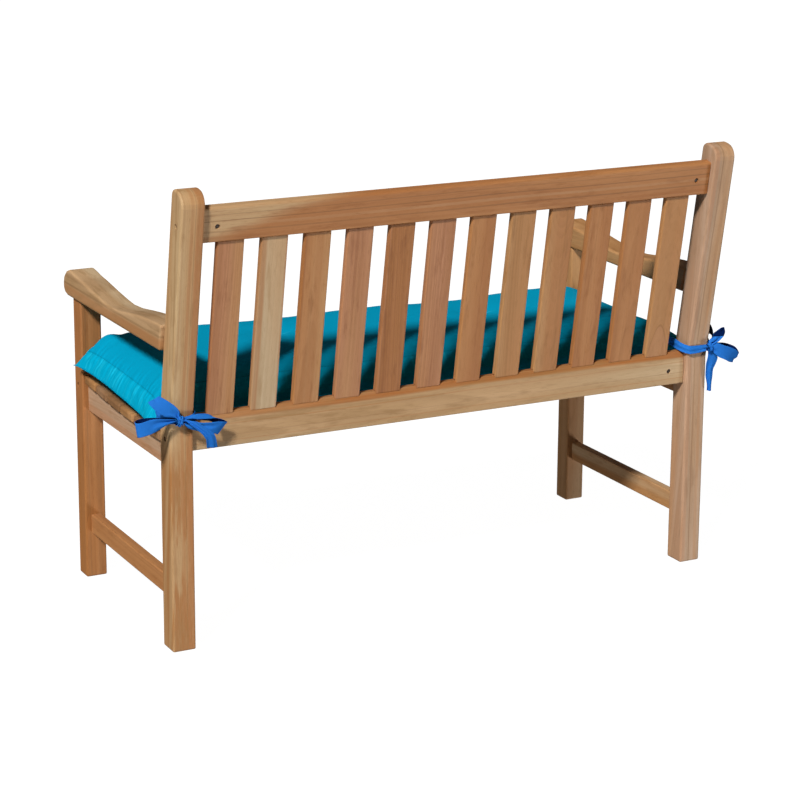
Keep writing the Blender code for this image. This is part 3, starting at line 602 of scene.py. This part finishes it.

# %% [markdown]
# ## Cushion cloth
# The cover is a plain woven outdoor cloth with a dull sheen. The weave is far finer
# than a pixel of the picture, but it shows from close by: two sets of threads, one
# along and one across, that pass over each other in turn. On the cushion, painted
# highlights stand for the folds that run out from the two tufts and for the pulls that
# the thread draws in the seam's band, which is painted paler; painted shade darkens the seam's
# furrow.

# %% Cushion cloth finish
THREAD_TONE = (0.0, 0.17, 0.27)
FOLD_HIGHLIGHT_TONE = (0.05, 0.62, 0.82)
BAND_HIGHLIGHT_TONE = (0.0, 0.5, 0.7)
PULL_HIGHLIGHT_TONE = (0.02, 0.6, 0.8)
STITCH_LENGTH = 0.0032


def tuft_fold_highlights(finish, u, v, cloud, colour):
    """Painted highlights standing for the folds that run out from each tuft."""
    for number, (tx, ty) in enumerate(TUFTS):
        dx, dy = u - (tx + SHIFT.x), v - (ty + SHIFT.y)
        far = (dx * dx + dy * dy).apply('SQRT')
        angle = finish.node("Math", {"operation": 'ARCTAN2'}, {0: dy, 1: dx})
        spokes = finish.step((angle * 7.0 + cloud * 9.0 + number).apply('SINE'), 0.86, 0.99)
        ring = finish.step(far, 0.002, 0.006) * (1.0 - finish.step(far, 0.016, 0.04))
        # painted highlight: the fold ridges round a tuft are painted paler, as if lit
        colour = finish.mix(spokes * ring * 0.5, colour, FOLD_HIGHLIGHT_TONE)
    return colour


def seam_line(finish, colour, relief, dark):
    """The stitch line in its furrow, with painted shade in the furrow, and the pulled band
    outside it, painted paler with painted highlights on its pulls.
    """
    near = finish.node("Attribute", {"attribute_name": "near_edge"}, out=2)
    run = finish.node("Attribute", {"attribute_name": "seam_run"}, out=2)
    beside = (near - SEAM_IN).apply('ABSOLUTE')
    stitches = finish.step((run * (2.0 * math.pi / STITCH_LENGTH)).apply('SINE'), -0.5, 0.1)
    stitch = (1.0 - finish.step(beside, 0.0004, 0.0009)) * stitches
    furrow = 1.0 - finish.step(beside, 0.0006, 0.003)
    band = 1.0 - finish.step(near, SEAM_IN - 0.001, SEAM_IN + 0.001)
    band = band * finish.step(near, -0.5, 0.0)
    pull_highlight = finish.noise(finish.node("CombineXYZ", {}, {0: run, 1: near * 0.15}),
                        (150.0, 150.0, 1.0), 2.0)
    # painted highlight: the band outside the seam is painted paler, and its pulls paler still,
    # as light on the puckers
    colour = finish.mix(band * 0.22, colour, BAND_HIGHLIGHT_TONE)
    colour = finish.mix(band * finish.step(pull_highlight, 0.5, 0.66) * 0.45, colour, PULL_HIGHLIGHT_TONE)
    # painted shade: the seam's furrow is darkened
    colour = finish.mix(furrow * 0.35, colour, dark)
    colour = finish.mix(stitch * 0.75, colour, THREAD_TONE)
    return colour, relief - furrow * 1.5 + stitch * 1.2


def woven(name, light, dark, pitch, uv, sewn=False):
    """Plain weave on a piece's own UV map, which is in metres."""
    finish = Finish(name, 0.8)
    u, v, _ = finish.parts(finish.node("UVMap", {"uv_map": uv}))
    turns = 2.0 * math.pi / pitch
    warp = (u * turns).apply('SINE')
    weft = (v * turns).apply('SINE')
    over = finish.step((u * (turns / 2.0)).apply('SINE') * (v * (turns / 2.0)).apply('SINE'),
                       -0.1, 0.1)
    thread = over * warp + (1.0 - over) * weft
    place = finish.node("TexCoord", out="Object")
    slub = finish.noise(place, (900.0, 60.0, 900.0), 2.0)
    cloud = finish.noise(place, (9.0, 9.0, 9.0), 3.0)
    colour = finish.mix(finish.step(thread, -1.0, 1.0) * 0.35 + slub * 0.2, dark, light)
    colour = finish.mix(finish.step(cloud, 0.35, 0.7) * 0.12, colour, dark)
    relief = thread * 0.5 + slub
    if sewn:
        colour = tuft_fold_highlights(finish, u, v, cloud, colour)
        colour, relief = seam_line(finish, colour, relief, dark)
    finish.set("Base Color", colour)
    finish.set("Normal", finish.bump(relief, 0.00012, 0.6))
    finish.set("Specular IOR Level", 0.04)
    return finish.material


cushion_cloth = woven("turquoise_cloth", (0.0, 0.4, 0.64), (0.0, 0.32, 0.52), 0.0009,
                      "cloth", sewn=True)
print(len(cushion_cloth.node_tree.nodes), "nodes")

# %% [markdown]
# ## Filling the cover
# Cloth puckers where a stitch line is drawn tight, and no formula does that as well as
# the cloth itself. The skins are blown up a little with Blender's Cloth, with the seam
# slightly shrunk and the tufts and the resting side held. The broad part of the
# movement is left out, because the cushion's shape is already right, and the fine part
# stays as its creases.

# %% Blow up the cover
CREASE_LIMIT = 0.0035
CREASE_SHARE = 0.65
SINK_SHARE = 0.6  # creases sink less than they rise
SMOOTHING_ROUNDS = 60
LAST_FRAME = 20
HELD_LIFT = 0.0029  # held this close to the slats
HELD_RIM, HELD_TUFT = 0.0015, 0.007
SEAM_HALF, SEAM_HOLD = 0.004, 0.35
CLOTH_SETTINGS = {
    "quality": 5, "mass": 0.3, "tension_stiffness": 20.0, "compression_stiffness": 20.0,
    "shear_stiffness": 8.0, "bending_stiffness": 0.3, "use_pressure": True,
    "uniform_pressure_force": 4.0, "vertex_group_mass": "held",
    "vertex_group_shrink": "tight", "shrink_min": 0.0, "shrink_max": 0.04}
MAIN_PUCKER = 0.0135
PUCKER_LENGTHS = (0.0105, MAIN_PUCKER, 0.0172, 0.031)
PUCKER_RISE = 0.0013
PUCKER_FADE = 0.007  # how soon the puckers fade inside the seam
GROOVE_DEPTH, GROOVE_HALF = 0.0014, 0.0026
BAND_RISE = 0.0012  # bulge of the band outside the seam
CORNER_CALM = 0.03  # around each corner


def places(mesh, what="co"):
    """The places or normals of all points, as rows."""
    values = np.empty(len(mesh.vertices) * 3)
    mesh.vertices.foreach_get(what, values)
    return values.reshape(-1, 3)


def layer(mesh, name):
    """The numbers that an attribute holds for all points."""
    values = np.empty(len(mesh.vertices))
    mesh.attributes[name].data.foreach_get("value", values)
    return values


def broad_movement(mesh, moved):
    """The part of a movement that is shared with the neighbours, by averaging."""
    ends = np.empty(len(mesh.edges) * 2, np.int64)
    mesh.edges.foreach_get("vertices", ends)
    others = ends.reshape(-1, 2)[:, ::-1].ravel()
    count = np.bincount(ends)[:, None]
    shared = moved
    for _ in range(SMOOTHING_ROUNDS):
        total = [np.bincount(ends, shared[others, axis]) for axis in range(3)]
        shared = 0.5 * shared + 0.5 * np.stack(total, axis=1) / count
    return shared


def blow_up(piece, held, tight):
    """Cloth with pressure; gives each point's place and movement."""
    for name, weights in (("held", held), ("tight", tight)):
        group = piece.vertex_groups.new(name=name)
        for index, weight in weights.items():
            group.add([index], weight, 'REPLACE')
    cloth = piece.modifiers.new("filling", 'CLOTH')
    for name, value in CLOTH_SETTINGS.items():
        setattr(cloth.settings, name, value)
    cloth.settings.effector_weights.gravity = 0.0
    cloth.collision_settings.use_collision = False
    before = places(piece.data)
    for number in range(1, LAST_FRAME + 1):
        bpy.context.scene.frame_set(number)
    shown = piece.evaluated_get(bpy.context.evaluated_depsgraph_get())
    after = places(shown.data)
    piece.modifiers.remove(cloth)
    piece.vertex_groups.clear()
    bpy.context.scene.frame_set(1)
    return before, after - before


def sew(mesh):
    """Press the seam line in and raise the puckers that its thread draws up."""
    near, run, place = layer(mesh, "near_edge"), layer(mesh, "seam_run"), places(mesh)
    draw = random.Random(5)
    waves = 0.0
    for length in PUCKER_LENGTHS:
        height = math.sqrt(MAIN_PUCKER / length)
        waves = waves + height * np.sin(2.0 * math.pi * run / length + draw.uniform(0, 6))
    inward = np.clip(near / SEAM_IN, 0.0, 1.0)
    window = np.where(near < SEAM_IN, inward ** 0.8, np.exp(-(near - SEAM_IN) / PUCKER_FADE))
    groove = np.exp(-((near - SEAM_IN) / GROOVE_HALF) ** 2)
    corner = np.hypot(abs(place[:, 0] - SHIFT.x) - CUSHION_HALF[0],
                      abs(place[:, 1] - SHIFT.y - CUSHION_MID_Y) - CUSHION_HALF[1])
    on_top = (near >= 0.0) * np.clip(corner / CORNER_CALM - 0.3, 0.0, 1.0)
    rise = on_top * (window * waves * PUCKER_RISE - groove * GROOVE_DEPTH
                     + BAND_RISE * np.sin(np.pi * inward) * (near < SEAM_IN))
    moved = place + places(mesh, "normal") * rise[:, None]
    mesh.vertices.foreach_set("co", moved.ravel())
    mesh.update()
    return rise


cushion = add_piece("cushion_cover", cover, cushion_cloth)
held, tight = {}, {}
for vert, near in zip(cushion.data.vertices, layer(cushion.data, "near_edge")):
    place = vert.co - SHIFT
    resting = place.z < between(SEAT_TOPS, place.y) + HELD_LIFT or near < 0.0
    if resting or near < HELD_RIM or any(
            math.hypot(place.x - tx, place.y - ty) < HELD_TUFT for tx, ty in TUFTS):
        held[vert.index] = 1.0
    elif abs(near - SEAM_IN) < SEAM_HALF:
        tight[vert.index] = 1.0
        held[vert.index] = SEAM_HOLD
before, moved = blow_up(cushion, held, tight)
broad = broad_movement(cushion.data, moved)
fine = moved - broad
fine[:, 2] = np.where(fine[:, 2] < 0.0, fine[:, 2] * SINK_SHARE, fine[:, 2])
fine *= CREASE_SHARE
length = np.linalg.norm(fine, axis=1)
fine *= np.minimum(1.0, CREASE_LIMIT / np.maximum(length, 1e-9))[:, None]
cushion.data.vertices.foreach_set("co", (before + fine).ravel())
cushion.data.update()
print("fine movement: mean %.2f mm, most %.2f mm; broad movement: most %.2f mm" % (
    length.mean() * 1000, length.max() * 1000, np.linalg.norm(broad, axis=1).max() * 1000))
rise = sew(cushion.data)
print("seam and puckers: %.2f to %.2f mm" % (rise.min() * 1000, rise.max() * 1000))

# %% [markdown]
# ## The cushion as a piece
# The cover takes the place of the CAD model's plain cushion: it is made a little finer and hung
# from the bench's root.

# %% Cushion piece
finer = cushion.modifiers.new("finer", 'SUBSURF')
finer.levels = finer.render_levels = 1
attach(cushion, "root")
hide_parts("seat_cushion")
print("the cushion is in place")

# %% [markdown]
# ## Ribbon ties
# Each tie is a pair of ribbons sewn into a rear corner of the cushion, passed round the
# post and tied in a bow. A ribbon keeps its width, so where it is squeezed into the knot
# it folds up into pleats. Each strip is a row of stations, with its middle and half of
# the width that shows, and a wave takes up the rest. Where the photograph shows a
# ribbon's two edges, they were picked in an enlarged part of it: a row holds a
# pixel on each edge with its depth y, and the camera's rays place both. The bands and
# the right bow's fore loop, which are partly hidden, are given in metres.

# %% Ribbon stations
RIBBON_WIDTH = 0.027
WIDEST_HALF = 0.0145  # of the width that shows, where a ribbon lies flat
LEFT_PART = (130.0, 380.0, 14.25)  # corner in the photograph, times enlarged
RIGHT_PART = (640.0, 300.0, 13.07)


def seen_at(part, column, row, depth):
    """The place at y = depth that shows at a pixel of an enlarged part."""
    corner_column, corner_row, times = part
    across = corner_column + column / times - PHOTO_SIDE * 0.5
    down = corner_row + row / times - PHOTO_SIDE * (0.5 + LENS_SHIFT)
    ray = ahead + (right * across - up * down) / FOCAL_PIXELS
    eye = EYE - SHIFT
    return eye + ray * ((depth - eye.y) / ray.y)


def traced(part, rows):
    """Stations from rows of one edge, the other edge, and arch."""
    stations = []
    for row in rows:
        one, other = seen_at(part, *row[:3]), seen_at(part, *row[3:6])
        middle, half = (one + other) / 2.0, (one - other) / 2.0
        half *= min(1.0, WIDEST_HALF / half.length)
        stations.append((*middle, *half, *row[6:]))
    return stations


LEFT_LOOP_OUT = traced(LEFT_PART, (
    (640, 560, 0.0145, 645, 600, 0.0145), (540, 558, 0.0185, 545, 640, 0.019),
    (420, 556, 0.0225, 440, 700, 0.023), (300, 567, 0.024, 330, 762, 0.0245),
    (190, 606, 0.0235, 225, 803, 0.024), (110, 622, 0.02, 140, 824, 0.021),
    (66, 600, 0.013, 105, 815, 0.014), (100, 572, 0.005, 135, 770, 0.008),
    (180, 550, 0.001, 220, 740, 0.004), (300, 541, 0.0, 330, 720, 0.002),
    (420, 543, 0.003, 440, 680, 0.003), (540, 550, 0.0075, 545, 620, 0.0075),
    (640, 556, 0.0115, 645, 596, 0.0115),
))
LEFT_LOOP_IN = traced(LEFT_PART, (
    (745, 585, 0.014, 745, 540, 0.013, 0.0), (800, 575, 0.0165, 795, 550, 0.011, -0.0035),
    (870, 566, 0.0185, 860, 545, 0.0095, -0.0062), (950, 560, 0.019, 940, 562, 0.0078, -0.01),
    (1030, 556, 0.018, 1030, 572, 0.0055, -0.0112),
    (1110, 553, 0.0168, 1110, 580, 0.002, -0.0112),
    (1185, 548, 0.016, 1180, 600, 0.001, -0.0072), (1250, 551, 0.015, 1225, 640, 0.001, -0.003),
    (1330, 568, 0.0135, 1225, 710, 0.005, -0.0005), (1398, 583, 0.0125, 1243, 782, 0.014, 0.0),
    (1345, 592, 0.0195, 1200, 765, 0.02, 0.0), (1250, 590, 0.0225, 1140, 748, 0.0225, 0.0),
    (1150, 602, 0.023, 1060, 738, 0.0225, 0.0), (1050, 606, 0.022, 980, 730, 0.0215, 0.0),
    (950, 602, 0.02, 900, 712, 0.0195, 0.0), (860, 590, 0.0175, 830, 688, 0.0175, 0.0),
    (780, 575, 0.015, 775, 638, 0.015, 0.0),
))
LEFT_TAIL_UP = traced(LEFT_PART, (
    (690, 520, 0.014, 660, 560, 0.014), (700, 450, 0.015, 610, 545, 0.015),
    (645, 375, 0.015, 500, 528, 0.0165), (560, 312, 0.013, 400, 470, 0.015),
    (480, 265, 0.009, 315, 395, 0.011), (412, 230, 0.004, 255, 320, 0.004),
))
LEFT_TAIL_DOWN = traced(LEFT_PART, (
    (765, 560, 0.016, 745, 600, 0.016), (860, 575, 0.022, 800, 600, 0.023),
    (960, 592, 0.0275, 860, 640, 0.028), (1040, 650, 0.031, 940, 700, 0.031),
    (1130, 705, 0.0325, 1020, 765, 0.033), (1205, 770, 0.0325, 1075, 835, 0.033),
    (1235, 855, 0.03, 1088, 890, 0.031), (1250, 960, 0.026, 1092, 970, 0.027),
))
RIGHT_LOOP_OUT = traced(RIGHT_PART, (
    (905, 575, 0.0115, 905, 615, 0.0115), (960, 568, 0.0145, 960, 685, 0.015),
    (1020, 565, 0.017, 1020, 740, 0.018), (1100, 575, 0.018, 1085, 785, 0.019),
    (1180, 598, 0.016, 1130, 808, 0.017), (1255, 640, 0.011, 1165, 818, 0.012),
    (1298, 698, 0.002, 1206, 809, 0.002), (1262, 622, -0.007, 1180, 790, -0.006),
    (1200, 580, -0.012, 1130, 760, -0.011), (1100, 557, -0.013, 1060, 720, -0.012),
    (1000, 553, -0.008, 990, 660, -0.008), (920, 560, 0.006, 920, 620, 0.006),
))
RIGHT_TAIL_UP = traced(RIGHT_PART, (
    (900, 540, 0.0125, 905, 590, 0.0125), (925, 512, 0.015, 985, 562, 0.015),
    (950, 492, 0.0165, 1040, 525, 0.0165), (965, 478, 0.0158, 1092, 472, 0.0158),
))
RIGHT_TAIL_TIP = traced(RIGHT_PART, (
    (965, 480, 0.0152, 1092, 473, 0.0152), (955, 458, 0.0145, 1102, 452, 0.0145),
    (962, 432, 0.0125, 1112, 425, 0.012), (1010, 400, 0.0105, 1105, 392, 0.01),
    (1068, 362, 0.009, 1092, 352, 0.0085),
))
RIGHT_TAIL_DOWN = traced(RIGHT_PART, (
    (930, 610, 0.0135, 893, 600, 0.0125), (985, 690, 0.011, 886, 665, 0.01),
    (1016, 750, 0.01, 884, 740, 0.01), (988, 840, 0.0085, 862, 830, 0.0085),
    (960, 905, 0.0075, 855, 905, 0.0075), (950, 1000, 0.0065, 852, 990, 0.0065),
    (938, 1100, 0.006, 868, 1100, 0.006), (934, 1190, 0.005, 866, 1182, 0.005),
))
LEFT_BAND = (  # middle, then half of the width that shows
    (0.593, -0.0652, 0.464, 0.0, -0.0038, 0.0088), (0.605, -0.055, 0.463, 0.0, -0.002, 0.0095),
    (0.609, -0.038, 0.4625, 0.0, 0.0, 0.0092), (0.6065, -0.012, 0.4625, 0.0, 0.0, 0.008),
    (0.604, 0.002, 0.4622, 0.0, 0.0, 0.0065), (0.5985, 0.0085, 0.462, 0.0, 0.0, 0.0055),
    (0.585, 0.0102, 0.4618, 0.0, 0.0, 0.005), (0.57, 0.0085, 0.4616, 0.0, 0.0, 0.006),
    (0.5585, 0.0065, 0.4614, 0.0, 0.0, 0.0075), (0.55, 0.0025, 0.464, 0.0, 0.0, 0.0088),
    (0.5486, -0.0065, 0.4715, 0.0, 0.0, 0.0088), (0.548, -0.02, 0.474, 0.0, 0.0, 0.0105),
    (0.5475, -0.037, 0.4745, 0.0, 0.0, 0.0105), (0.549, -0.056, 0.4745, 0.0, -0.003, 0.01),
    (0.551, -0.0717, 0.4745, 0.0, -0.004, 0.0088),
)
RIGHT_LOOP_FORE = (
    (-0.6015, 0.0095, 0.47, 0.0, 0.0, 0.003), (-0.6095, -0.008, 0.476, 0.0, -0.001, 0.007),
    (-0.614, -0.023, 0.485, 0.0, -0.003, 0.011), (-0.623, -0.039, 0.493, 0.0, -0.005, 0.012),
    (-0.6325, -0.045, 0.4945, 0.0, -0.006, 0.012), (-0.637, -0.039, 0.49, 0.0, -0.005, 0.0118),
    (-0.631, -0.023, 0.482, 0.0, -0.003, 0.01), (-0.617, -0.006, 0.474, 0.0, -0.001, 0.006),
    (-0.603, 0.01, 0.47, 0.0, 0.0, 0.003),
)
RIGHT_BAND = (
    (-0.548, -0.0727, 0.4745, 0.0, -0.0046, 0.0088),
    (-0.545, -0.056, 0.4742, 0.0, -0.003, 0.0095), (-0.542, -0.035, 0.4738, 0.0, 0.0, 0.0098),
    (-0.541, -0.018, 0.4725, 0.0, 0.0, 0.0096), (-0.5445, -0.004, 0.4695, 0.0, 0.0, 0.0088),
    (-0.552, 0.0052, 0.467, 0.0, 0.0, 0.0086), (-0.56, 0.0075, 0.4665, 0.0, 0.0, 0.0084),
    (-0.572, 0.0073, 0.4665, 0.0, 0.0, 0.008), (-0.586, 0.0078, 0.4672, 0.0, 0.0, 0.0072),
    (-0.5965, 0.0088, 0.4684, 0.0, 0.0, 0.006), (-0.6035, 0.008, 0.469, 0.0, 0.0, 0.0054),
    (-0.606, 0.0, 0.4686, 0.0, 0.0, 0.0056), (-0.6062, -0.011, 0.4675, 0.0, 0.0, 0.0066),
    (-0.6065, -0.022, 0.466, 0.0, 0.0, 0.008), (-0.6085, -0.04, 0.465, 0.0, 0.0, 0.009),
    (-0.605, -0.055, 0.464, 0.0, -0.002, 0.0095),
    (-0.593, -0.0656, 0.457, 0.0, -0.0032, 0.0065),
)
LEFT_KNOT = (0.585, 0.0128, 0.4618)
RIGHT_KNOT = (-0.5985, 0.0135, 0.4694)
KNOT_RADII = {"left": (0.0085, 0.0068, 0.01), "right": (0.0058, 0.0062, 0.009)}
print(len(LEFT_BAND), "and", len(RIGHT_BAND), "stations in the two bands")

# %% [markdown]
# ## Laying the strips
# A smooth curve runs through the stations, with a row of points across it at every
# step. A cupped ribbon is also arched.

# %% Ribbon strips
FOLDS = 3
FACES_ACROSS = 16
STEPS = 6  # between two stations
FOLD_START = 0.6  # where the wave begins
LOOP_SQUEEZE, BAND_SQUEEZE, KNOT_SQUEEZE = 0.5, 0.18, 0.25  # depth of the folds
KNOT_TURNS = (-0.5, 0.45)  # lean of a knot's two wraps
KNOT_HALF, KNOT_STEPS = 0.0042, 12
CLOTH_THICKNESS = 0.0005


def add_strip(shape, stations, squeeze=LOOP_SQUEEZE, turned=False):
    """A strip of ribbon through the stations, pleated where it is narrow."""
    rows = smooth_stations(stations, STEPS)
    middles = [Vector(row[:3]) + SHIFT for row in rows]
    lay = shape.loops.layers.uv.verify()
    run, rings = 0.0, []
    for i, row in enumerate(rows):
        half, arch = Vector(row[3:6]), row[6] if len(row) > 6 else 0.0
        onward = middles[min(i + 1, len(rows) - 1)] - middles[max(i - 1, 0)]
        normal = onward.cross(half).normalized()
        if i:
            run += (middles[i] - middles[i - 1]).length
        # 16 / 3: how much longer than its width an arch is, by the squares
        spare = math.sqrt(max(RIBBON_WIDTH ** 2 - (2.0 * half.length) ** 2
                              - 16.0 / 3.0 * arch ** 2, 0.0))
        depth = squeeze * spare / (2.0 * FOLDS)
        ring = []
        for j in range(FACES_ACROSS + 1):
            s = 2.0 * j / FACES_ACROSS - 1.0
            wave = math.sin(s * FOLDS * math.pi / 2.0 + FOLD_START)
            rise = depth * wave + arch * (1.0 - s * s)
            ring.append(shape.verts.new(middles[i] + half * s + normal * rise))
        rings.append((ring, run))
    for (a, near), (b, far) in zip(rings, rings[1:]):
        for j in range(FACES_ACROSS):
            corners = [(a[j], j, near), (a[j + 1], j + 1, near), (b[j + 1], j + 1, far),
                       (b[j], j, far)]
            if turned:
                corners.reverse()
            face = shape.faces.new([corner[0] for corner in corners])
            for loop, (_, column, length) in zip(face.loops, corners):
                loop[lay].uv = (column / FACES_ACROSS * RIBBON_WIDTH, length)
    return run


def knot_wrap(knot, radii, turn):
    """Stations once round a knot, in a plane that leans by turn."""
    wide = Vector((math.cos(turn), 0.0, -math.sin(turn))) * KNOT_HALF
    stations = []
    for step in range(KNOT_STEPS + 1):
        angle = 2.0 * math.pi * step / KNOT_STEPS
        out = Vector((math.sin(turn) * math.cos(angle) * radii[0],
                      math.sin(angle) * radii[1],
                      math.cos(turn) * math.cos(angle) * radii[2]))
        stations.append((*(Vector(knot) + out), *wide))
    return stations


ribbon_cloth = woven("blue_ribbon", (0.03, 0.255, 0.84), (0.02, 0.17, 0.62), 0.0008,
                     "UVMap")
# The ribbon's back is painted near-black navy: painted shade for the inner faces of loops and
# tails that lie in shade.
shaded_ribbon_back = woven("ribbon_back_painted_shade", (0.002, 0.018, 0.11), (0.001, 0.01, 0.07), 0.0008,
                    "UVMap")


def add_tie(name, strips, knot, node):
    """One tie: its strips, the two wraps of its knot, and its thickness."""
    shape = bmesh.new()
    shape.loops.layers.uv.new("UVMap")
    length = 0.0
    for strip, settings in strips:
        length += add_strip(shape, strip, **settings)
    radii = KNOT_RADII["left" if "left" in name else "right"]
    for turn in KNOT_TURNS:
        length += add_strip(shape, knot_wrap(knot, radii, turn), KNOT_SQUEEZE)
    print(name, "ribbon length", round(length, 4))
    tie = add_piece(name, shape, ribbon_cloth)
    wall = tie.modifiers.new("thickness", 'SOLIDIFY')
    wall.thickness, wall.offset, wall.material_offset = CLOTH_THICKNESS, 0.0, 1
    # the back side of each strip takes the navy of painted shade
    tie.data.materials.append(shaded_ribbon_back)
    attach(tie, "root")
    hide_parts(node)


band_way = {"squeeze": BAND_SQUEEZE, "turned": True}
# a turned strip shows the ribbon's back, darkened with painted shade
other_side = {"turned": True}  # shows the ribbon's other side
add_tie("ribbon_bow_left", (
    (LEFT_BAND, band_way), (LEFT_LOOP_OUT, {}), (LEFT_LOOP_IN, {}),
    (LEFT_TAIL_UP, {}), (LEFT_TAIL_DOWN, other_side)), LEFT_KNOT, "tie_left")
add_tie("ribbon_bow_right", (
    (RIGHT_BAND, band_way), (RIGHT_LOOP_OUT, other_side),
    (RIGHT_LOOP_FORE, {}), (RIGHT_TAIL_UP, other_side), (RIGHT_TAIL_TIP, {}),
    (RIGHT_TAIL_DOWN, other_side)), RIGHT_KNOT, "tie_right")

# %% [markdown]
# ## Screws
# Each screw sits in a shallow round hole of the CAD model's boards. A cone makes its
# head, two cuts mark off a strip across the top, and pushing that in makes the slot.

# %% Screws
SCREW_RADIUS, SCREW_HEIGHT, SCREW_TAPER, RIM_BEVEL = 0.0041, 0.0016, 0.86, 0.0003
SLOT_HALF, SLOT_DEPTH = 0.00045, 0.55  # in metres, and as a share of the height
HOLE_FLOOR, HEAD_GAP = 0.004, 0.0004
RAIL_INSET, KNEE_Z, SIDE_X = 0.012, 0.4475, 0.6
TOP_HOLES = ((0.522, 0.8325), (-0.522, 0.8335))  # x and z
LOW_HOLES = ((0.5225, 0.42), (-0.516, 0.4207))
SIDE_HOLES = ((0.0454, 0.8375), (-0.025, 0.4188), (-0.495, 0.4084))  # y and z
FIRST_TURN, NEXT_TURN = 0.7, 1.3  # of the slots, in radians


def screw_head(turn):
    """A slotted head that stands on the XY plane and looks along +Z."""
    head = bmesh.new()
    bmesh.ops.create_cone(head, cap_ends=True, segments=28, radius1=SCREW_RADIUS,
                          radius2=SCREW_RADIUS * SCREW_TAPER, depth=SCREW_HEIGHT)
    rim = [edge for edge in head.edges if all(vert.co.z > 0.0 for vert in edge.verts)]
    bmesh.ops.bevel(head, geom=rim, offset=RIM_BEVEL, affect='EDGES', segments=2,
                    profile=0.5, material=-1)
    for side in (-1.0, 1.0):
        bmesh.ops.bisect_plane(head, geom=head.verts[:] + head.edges[:] + head.faces[:],
                               plane_co=(0.0, side * SLOT_HALF, 0.0), plane_no=(0.0, 1.0, 0.0))
    strip = [face for face in head.faces if face.normal.z > 0.99
             and abs(face.calc_center_median().y) < SLOT_HALF * 0.5]
    pushed = bmesh.ops.extrude_face_region(head, geom=strip)
    bmesh.ops.translate(head, vec=(0.0, 0.0, -SCREW_HEIGHT * SLOT_DEPTH),
                        verts=[item for item in pushed["geom"]
                               if isinstance(item, bmesh.types.BMVert)])
    bmesh.ops.rotate(head, cent=(0.0, 0.0, 0.0), verts=head.verts,
                     matrix=Matrix.Rotation(turn, 3, 'Z'))
    return head


def on_the_rake(z):
    """Depth y of the top rail's rear face at height z."""
    return (z - KNEE_Z) * math.tan(RAKE) - RAIL_INSET / math.cos(RAKE)


rear_up = Vector((0.0, math.cos(RAKE), -math.sin(RAKE)))
SCREWS = [(Vector((x, on_the_rake(z), z)), rear_up) for x, z in TOP_HOLES]
SCREWS += [(Vector((x, -RAIL_INSET, z)), Vector((0.0, 1.0, 0.0))) for x, z in LOW_HOLES]
for side in (1.0, -1.0):
    SCREWS += [(Vector((side * SIDE_X, y, z)), Vector((side, 0.0, 0.0)))
               for y, z in SIDE_HOLES]
steel = Finish("dull_screw_steel", 0.45)
spot = steel.node("TexCoord", out="Object")
rust = steel.noise(spot, (600.0, 600.0, 600.0), 3.0)
steel.set("Base Color", steel.mix(steel.step(rust, 0.4, 0.65), (0.07, 0.045, 0.03),
                                  (0.03, 0.018, 0.01)))
steel.set("Metallic", 0.2).set("Roughness", 0.42 + rust * 0.3)
heads = bmesh.new()
for number, (place, out) in enumerate(SCREWS):
    head = screw_head(FIRST_TURN + NEXT_TURN * number)
    stand = out.to_track_quat('Z', 'Y').to_matrix().to_4x4()
    middle = place + SHIFT - out * (HOLE_FLOOR - HEAD_GAP - SCREW_HEIGHT / 2.0)
    head.transform(Matrix.Translation(middle) @ stand)
    one = bpy.data.meshes.new("one_head")
    head.to_mesh(one)
    head.free()
    heads.from_mesh(one)
    bpy.data.meshes.remove(one)
screws = add_piece("screw_heads", heads, steel.material, smooth=False)
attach(screws, "root")
print(len(SCREWS), "screw heads")
